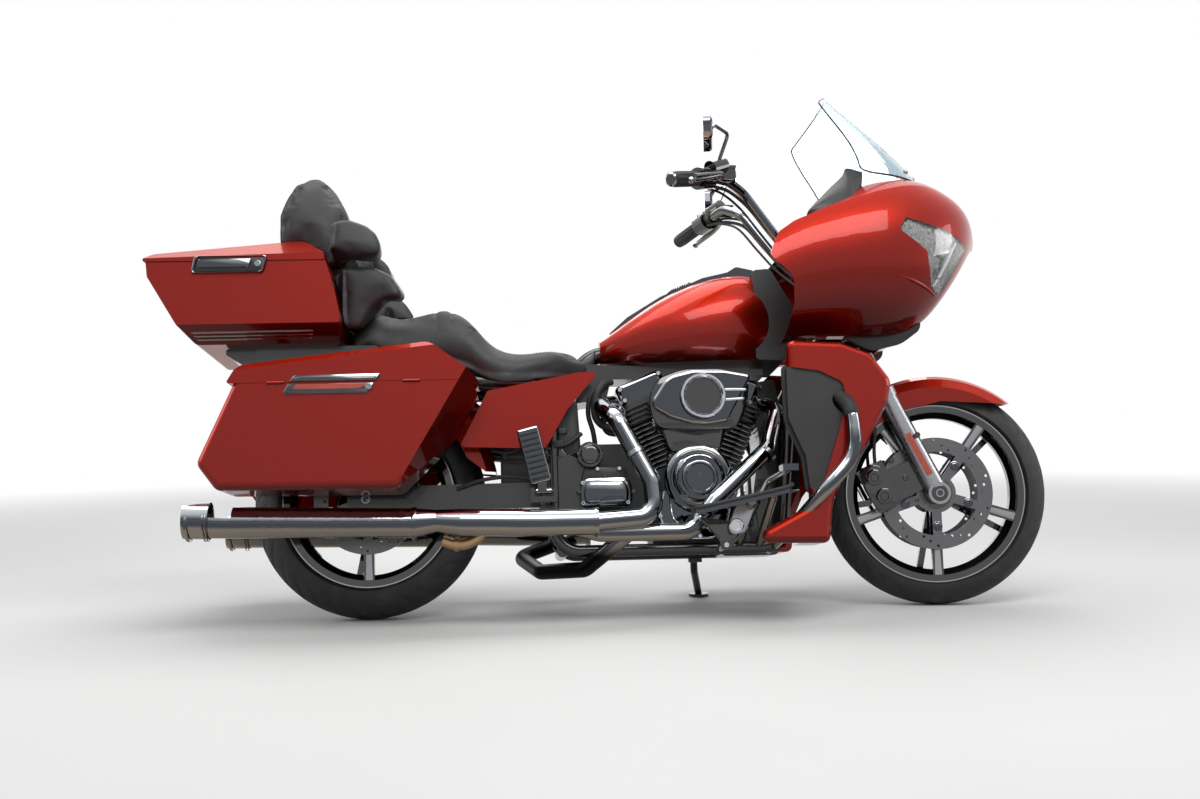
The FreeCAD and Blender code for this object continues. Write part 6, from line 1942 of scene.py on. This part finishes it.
    def bezel(self, at: Array, way: Array, r: float) -> Shape:
        """A dial's bezel."""
        profile = [(-2, r + 5), (7, r + 5), (9, r + 3), (9, r + 1), (5, r), (-2, r)]
        return lathe(profile, at, way, 48, ring=True)

    def face(self, at: Array, way: Array, r: float) -> Shape:
        """A dial's blank face."""
        return lathe([(-2, r + 1), (3.2, r + 1), (3.2, r * 0.5), (3.2, 0.4)], at, way, 48)

    @gathered
    def marks(self, at: Array, way: Array, r: float) -> Iterator[Shape]:
        """A dial's ticks, every fifth one longer, and its needle."""
        side = np.array([0.0, 1.0, 0.0])
        up = np.cross(way, side)
        up = up * math.copysign(1.0, up[2])

        def spoke(degrees: float, start: float, end: float, lift: float) -> Array:
            """A radial line on the face between two shares of its radius."""
            a = math.radians(degrees)
            out = math.cos(a) * up - math.sin(a) * side
            return np.array([at + way * lift + out * r * start, at + way * lift + out * r * end])

        for n in range(21):
            start, radius = (0.80, 0.9) if n % 5 == 0 else (0.88, 0.5)
            yield sweep(spoke(-130 + 13 * n, start, 0.95, 3.4), radius, 5)
        yield sweep(spoke(-118, -0.15, 0.78, 4.2), np.array([1.6, 0.5]), 6)

    def display(self) -> Shape:
        """The blank screen between bezels on the dash's upright face, and its frame."""
        outline = rounded_outline([(-74, 1068), (74, 1068), (74, 1104), (-74, 1104)], 6)
        steps = ((1347.0, 1.0), (1341.5, 1.0), (1340.5, 0.97), (1340.5, 0.93), (1342.5, 0.92), (1342.5, 0.02))
        rows = [np.column_stack([np.full(len(outline), x), outline[:, 0] * k,
                                 1086 + (outline[:, 1] - 1086) * k]) for x, k in steps]
        return grid_shape(np.stack(rows), wrap_v=True, caps=True)

    @gathered
    def speakers(self) -> Iterator[Shape]:
        """Round speaker grilles on both sides of the dash: a rim and five rings over a dished centre."""
        for y in (-256.0, 256.0):
            at, way = self.dial_place(y, 0.2, 0.0)
            yield lathe([(-3, 46), (4, 46), (6, 43), (4, 40), (-3, 40)], at, way, 48, ring=True)
            for r in (34, 27, 20, 13):
                yield lathe([(0, r + 1.6), (2.6, r + 1), (2.6, r - 1), (0, r - 1.6)], at, way, 40, ring=True)
            yield lathe([(0, 8), (3.5, 6), (4, 0.5)], at, way, 24)

    @gathered
    def screen_screws(self, skin: Surface) -> Iterator[Shape]:
        """Five screws along the screen's foot."""
        for y in (-150.0, -78.0, 0.0, 78.0, 150.0):
            z = 1240 + abs(y) * 0.02
            hit = skin.along((1900, y, z), (-1, 0, 0))
            if hit is not None:
                way = np.array([0.74, y * 0.0012, 0.67])
                yield bolt(hit, way, 7.0, 6.0)

    def screen_edge(self, skin: Surface) -> Shape:
        """The screen's dark polished edge, up one side, round the top and down the other.

        From the screen's middle a ray from ahead steps outwards at each angle; its last hit is the edge.
        """
        path = []
        for angle in np.radians(np.arange(-44.0, 225.0, 1.5)):
            last = None
            for away in np.arange(90.0, 330.0, 1.0):
                y, z = away * math.cos(angle), 1345.0 + away * math.sin(angle)
                hit = skin.along((2000, y, z), (-1, 0, 0))
                if hit is None and last is not None and away > 120:
                    break
                last = hit if hit is not None else last
            if last is not None:
                path.append(last + np.array([-1.6, 0, 0]))
        line = np.array(path)
        line[1:-1] = (line[:-2] + line[1:-1] * 2 + line[2:]) / 4
        return sweep(line, 2.3, 8)

    def build(self, nodes: dict) -> None:
        """Makes the fairing's dress."""
        glass = Surface(nodes["headlamps"], nodes["fairing_shell"])
        shell = Surface(nodes["fairing_shell"])
        make_piece("lamp_trays", Shape.joined([self.bowl(glass, s) for s in SIDES]), REFLECTOR)
        make_piece("lamp_units", Shape.joined([self.projector(glass, s) for s in SIDES]), CHROME)
        make_piece("lamp_bars", Shape.joined([self.light_bar(glass, s) for s in SIDES]), WHITE_LENS)
        make_piece("screen_cowls", Shape.joined([self.cowl(shell, s) for s in SIDES]), PLASTIC)
        make_piece("fairing_chins", both_sides(self.chin), PLASTIC)
        make_piece("fairing_accents", self.creases(shell), SHELL_PAINT)
        make_piece("fairing_vent", self.vent(shell), PLASTIC)
        make_piece("dial_bezels", self.dials(self.bezel), CHROME)
        make_piece("dial_faces", self.dials(self.face), DIAL)
        make_piece("dial_marks", self.dials(self.marks), WHITE_LENS)
        make_piece("dash_display", self.display(), DIAL)
        make_piece("speaker_grilles", self.speakers(), PLASTIC)
        screen = Surface(nodes["windscreen"])
        make_piece("screen_screws", self.screen_screws(screen), STEEL)
        make_piece("screen_edge", self.screen_edge(screen), SCREEN_EDGE)


# Rear and left side

@dataclass
class Rear:
    """Lamps and reflectors at the back."""

    @gathered
    def strips(self, skin: Surface) -> Iterator[Shape]:
        """Two red reflectors on the back of the case."""
        for side in SIDES:
            hit = skin.along((-900, side * 150, 886), (1, 0, 0))
            x = hit[0] if hit is not None else -570.0
            outline = rounded_outline([(side * 96, 872), (side * 206, 872), (side * 200, 900),
                                       (side * 100, 900)], 6)
            rows = []
            middle = outline.mean(0)
            for dx, k in ((14.0, 1.0), (-3.0, 1.0), (-5.0, 0.97), (-5.0, 0.5), (-5.0, 0.02)):
                p = middle + k * (outline - middle)
                lean = (p[:, 1] - 886) * -0.42
                rows.append(np.column_stack([x + dx + lean, p[:, 0], p[:, 1]]))
            yield grid_shape(np.array(rows), wrap_v=True, caps=True)

    @gathered
    def signals(self, kind: str) -> Iterator[Shape]:
        """Bullet turn signals beside the tail lamps: chrome shells, or their lenses, by kind."""
        for side in SIDES:
            at = np.array([-300.0, side * 132.0, 520.0])
            if kind == "shells":
                yield lathe([(40, 4), (36, 14), (22, 24), (0, 29), (-8, 29), (-8, 26), (2, 24)], at,
                            (1, 0, 0), 32)
                yield sweep(np.array([at + [12, 0, 0], at + [16, -side * 42, 8]]), 7.0, 12)
            else:
                yield lathe([(-2, 26), (-9, 26), (-16, 20), (-20, 9), (-21, 0.5)], at, (1, 0, 0), 32)

    def build(self, nodes: dict) -> None:
        """Makes the rear's dress."""
        make_piece("case_reflectors", self.strips(Surface(nodes["case_base"])), RED_LENS)
        make_piece("rear_signal_shells", self.signals("shells"), CHROME)
        make_piece("rear_signal_lenses", self.signals("lenses"), RED_LENS)


@dataclass
class LeftSide:
    """The primary cover's covers and screws, the stand's spring and the tank's filler."""

    @gathered
    def covers(self) -> Iterator[Shape]:
        """The clutch cover, five screws round it, the inspection cover and the rim screws."""
        y = 199.5
        clutch = [(0, 74), (4, 74), (8, 70), (9, 60), (7, 56), (7, 30), (8, 0.5)]
        yield lathe(clutch, (668, y, 312), steps=72)
        turns = [math.radians(72 * n + 10) for n in range(5)]
        yield bolts([(668 + 65 * math.sin(a), 312 + 65 * math.cos(a)) for a in turns], y + 8, 1, 5, 4.5)
        plan = rounded_outline([(826, 268), (924, 262), (934, 306), (920, 344), (830, 340)], 22)
        yield slab(plan, y - 2, y + 6, 4.0)
        yield bolts(((838, 278), (918, 272), (916, 334), (838, 330)), y + 5, 1, 4.5, 4.5)
        yield bolts(((600, 262), (700, 246), (800, 234), (900, 222), (986, 300), (900, 378), (800, 372),
                     (700, 368), (604, 366)), y - 3, 1, 5.5, 6.5)

    def filler(self, skin: Surface) -> Shape:
        """The fuel cap: a low chrome dome with a milled edge, on the console."""
        z = skin.top(905, 0, 935.0)
        a = np.linspace(0, 2 * math.pi, 144, endpoint=False)
        rows = []
        for up, r, mill in ((-3, 36, 0), (1, 37, 0.8), (7, 37, 0.8), (10, 34, 0), (12, 24, 0), (13.5, 10, 0),
                            (13.8, 0.5, 0)):
            rr = r + mill * np.cos(36 * a)
            lean = rr * np.cos(a) * 0.42
            rows.append(np.column_stack([905 + rr * np.cos(a) * 0.95 - up * 0.4, rr * np.sin(a),
                                         z + up + lean]))
        return grid_shape(np.stack(rows), wrap_v=True, caps=True)

    def spring(self) -> Shape:
        """The stand's return spring: a helix r (cos 2 pi n t, sin 2 pi n t) along its line."""
        a, b = np.array([905.0, 205.0, 182.0]), np.array([840.0, 198.0, 196.0])
        t = np.linspace(0, 1, 160)
        way = (b - a) / np.linalg.norm(b - a)
        e1 = np.cross(way, [0, 1.0, 0])
        e1 = e1 / np.linalg.norm(e1)
        e2 = np.cross(way, e1)
        turn = 2 * math.pi * 12 * t
        path = a + t[:, None] * (b - a) + 7 * (np.cos(turn)[:, None] * e1 + np.sin(turn)[:, None] * e2)
        return sweep(path, 1.6, 6)

    def build(self, nodes: dict) -> None:
        """Makes the left side's dress."""
        make_piece("primary_covers_round", self.covers(), CHROME, smooth=30)
        make_piece("stand_spring", self.spring(), STEEL)
        make_piece("fuel_cap", self.filler(Surface(nodes["tank_console"])), CHROME)


@dataclass
class Studio:
    """Camera, lamps, world and floor."""

    camera_at: tuple[float, float, float] = (-0.2286, -4.3074, 0.632)
    yaw: float = -2.89
    pitch: float = -0.30
    roll: float = 1.01
    focal_px: float = 1449.5
    sensor: float = 36.0

    def camera(self) -> None:
        """The photograph's camera: R = Rz(yaw) Rx(pitch) Ry(roll), with the lens f / width x sensor."""
        data = bpy.data.cameras.new("camera")
        data.sensor_width = self.sensor
        data.lens = self.focal_px / IMAGE_SIZE[0] * self.sensor
        data.clip_end = 60.0
        eye = bpy.data.objects.new("camera", data)
        turn = rotation((0, 0, 1), self.yaw) @ rotation((1, 0, 0), self.pitch)
        turn = turn @ rotation((0, 1, 0), self.roll)
        matrix = np.eye(4)
        matrix[:3, 0], matrix[:3, 1], matrix[:3, 2] = turn[:, 0], turn[:, 2], -turn[:, 1]
        matrix[:3, 3] = self.camera_at
        eye.matrix_world = Matrix(matrix.tolist())
        bpy.context.scene.collection.objects.link(eye)
        bpy.context.scene.camera = eye

    def lamp(self, name: str, at: Sequence[float], aim: Sequence[float], size: tuple[float, float],
             power: float) -> None:
        """A rectangular area lamp at a point, looking at another."""
        data = bpy.data.lights.new(name, "AREA")
        data.shape = "RECTANGLE"
        data.size, data.size_y = size
        data.energy = power
        made = bpy.data.objects.new(name, data)
        made.location = at
        made.rotation_euler = (Vector(aim) - Vector(at)).to_track_quat("-Z", "Y").to_euler()
        bpy.context.scene.collection.objects.link(made)

    def lights(self) -> None:
        """A large lamp overhead, one on each side and a low fill from the front."""
        self.lamp("key", (0.6, -2.6, 3.4), (0.0, 0.0, 0.5), (3.4, 1.6), 105.0)
        self.lamp("top", (-0.4, 0.6, 3.8), (0.0, 0.0, 0.4), (4.0, 2.0), 80.0)
        self.lamp("left", (0.0, 4.0, 2.0), (0.0, 0.0, 0.6), (4.0, 1.6), 50.0)
        self.lamp("front", (4.2, -0.6, 1.6), (0.4, 0.0, 0.7), (1.6, 1.6), 32.0)
        self.lamp("rear", (-4.2, -0.4, 1.8), (-0.5, 0.0, 0.6), (1.6, 1.6), 32.0)

    def world(self) -> None:
        """White to the camera, to mirrors and through glass; a softer grey as light."""
        world = bpy.data.worlds.new("studio")
        bpy.context.scene.world = world
        world.use_nodes = True
        tree = world.node_tree
        tree.nodes.clear()
        out = tree.nodes.new("ShaderNodeOutputWorld")
        seen = tree.nodes.new("ShaderNodeBackground")
        light = tree.nodes.new("ShaderNodeBackground")
        mix = tree.nodes.new("ShaderNodeMixShader")
        seen.inputs["Color"].default_value = (1, 1, 1, 1)
        seen.inputs["Strength"].default_value = 1.0
        light.inputs["Color"].default_value = (0.94, 0.96, 1.0, 1)
        light.inputs["Strength"].default_value = 0.35
        tree.links.new(self.shown(tree), mix.inputs["Fac"])
        tree.links.new(light.outputs[0], mix.inputs[1])
        tree.links.new(seen.outputs[0], mix.inputs[2])
        tree.links.new(mix.outputs[0], out.inputs["Surface"])

    def floor(self) -> None:
        """A large pale floor that turns to plain white away from the machine.

        For rays that show it, its share of white grows with distance, from 0 at 2.6 m to 1 at 7 m.
        """
        mesh = bpy.data.meshes.new("floor")
        mesh.from_pydata([(-30, -30, 0), (30, -30, 0), (30, 30, 0), (-30, 30, 0)], [], [(0, 1, 2, 3)])
        mat = Recipe("floor_pale")
        mat.feed("Base Color", mat.blend(mat.noise(1.5, 3.0), (0.62, 0.62, 0.61, 1), (0.66, 0.66, 0.65, 1)))
        mat.put("Roughness", 0.75)
        self.fade(mat)
        mesh.materials.append(mat.mat)
        made = bpy.data.objects.new("floor", mesh)
        bpy.context.scene.collection.objects.link(made)

    def shown(self, tree: bpy.types.NodeTree) -> bpy.types.NodeSocket:
        """1 for rays of the camera, of mirrors and through glass, and 0 for the light on the object."""
        path = tree.nodes.new("ShaderNodeLightPath")
        last = path.outputs["Is Camera Ray"]
        for name in ("Is Glossy Ray", "Is Transmission Ray"):
            both = tree.nodes.new("ShaderNodeMath")
            both.operation = "MAXIMUM"
            tree.links.new(last, both.inputs[0])
            tree.links.new(path.outputs[name], both.inputs[1])
            last = both.outputs[0]
        return last

    def fade(self, mat: Recipe) -> None:
        """Mixes the floor's shader with white by distance."""
        away = mat.node("ShaderNodeVectorMath", operation="LENGTH")
        mat.join(mat.coords.outputs["Object"], away.inputs[0])
        share = mat.span(away.outputs["Value"], 0.0, 1.0, 2.6, 7.0)
        both = mat.node("ShaderNodeMath", operation="MULTIPLY")
        mat.join(share, both.inputs[0])
        mat.join(self.shown(mat.tree), both.inputs[1])
        white = mat.node("ShaderNodeEmission")
        mix = mat.node("ShaderNodeMixShader")
        mat.join(both.outputs[0], mix.inputs["Fac"])
        mat.join(mat.shader.outputs["BSDF"], mix.inputs[1])
        mat.join(white.outputs["Emission"], mix.inputs[2])
        mat.join(mix.outputs["Shader"], mat.tree.nodes["Material Output"].inputs["Surface"])

    def build(self) -> None:
        """Everything round the machine."""
        self.camera()
        self.lights()
        self.world()
        self.floor()
        bpy.context.scene.view_settings.view_transform = "Standard"


def main() -> None:
    """Builds the looks in order and reports each piece."""
    logging.basicConfig(level=logging.INFO, format="%(name)s: %(message)s")
    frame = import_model()
    Studio().build()
    nodes = frame["nodes"]
    dress_nodes(nodes)
    Wheel(Body.FRONT_WHEEL, 1625.0, 319.0, 130.0, 241.0, 38.0, (-68.0, 68.0)).build()
    Wheel(Body.REAR_WHEEL, 0.0, 327.5, 180.0, 228.0, 85.5, (-96.0,)).build()
    Fork().build()
    Engine().build()
    Midships().build()
    Exhaust().build()
    Luggage().build(nodes)
    Boards().build()
    Controls().build()
    Fairing().build(nodes)
    Rear().build(nodes)
    LeftSide().build(nodes)
    Saddle().build()
    Pad("backrest", Body.CHASSIS, (-1, 0, 0), cap=14.0).build()
    Pad("backrest_top", Body.CASE_LID, (-1, 0, 0), cap=14.0).build()


if __name__ == "__main__":
    main()
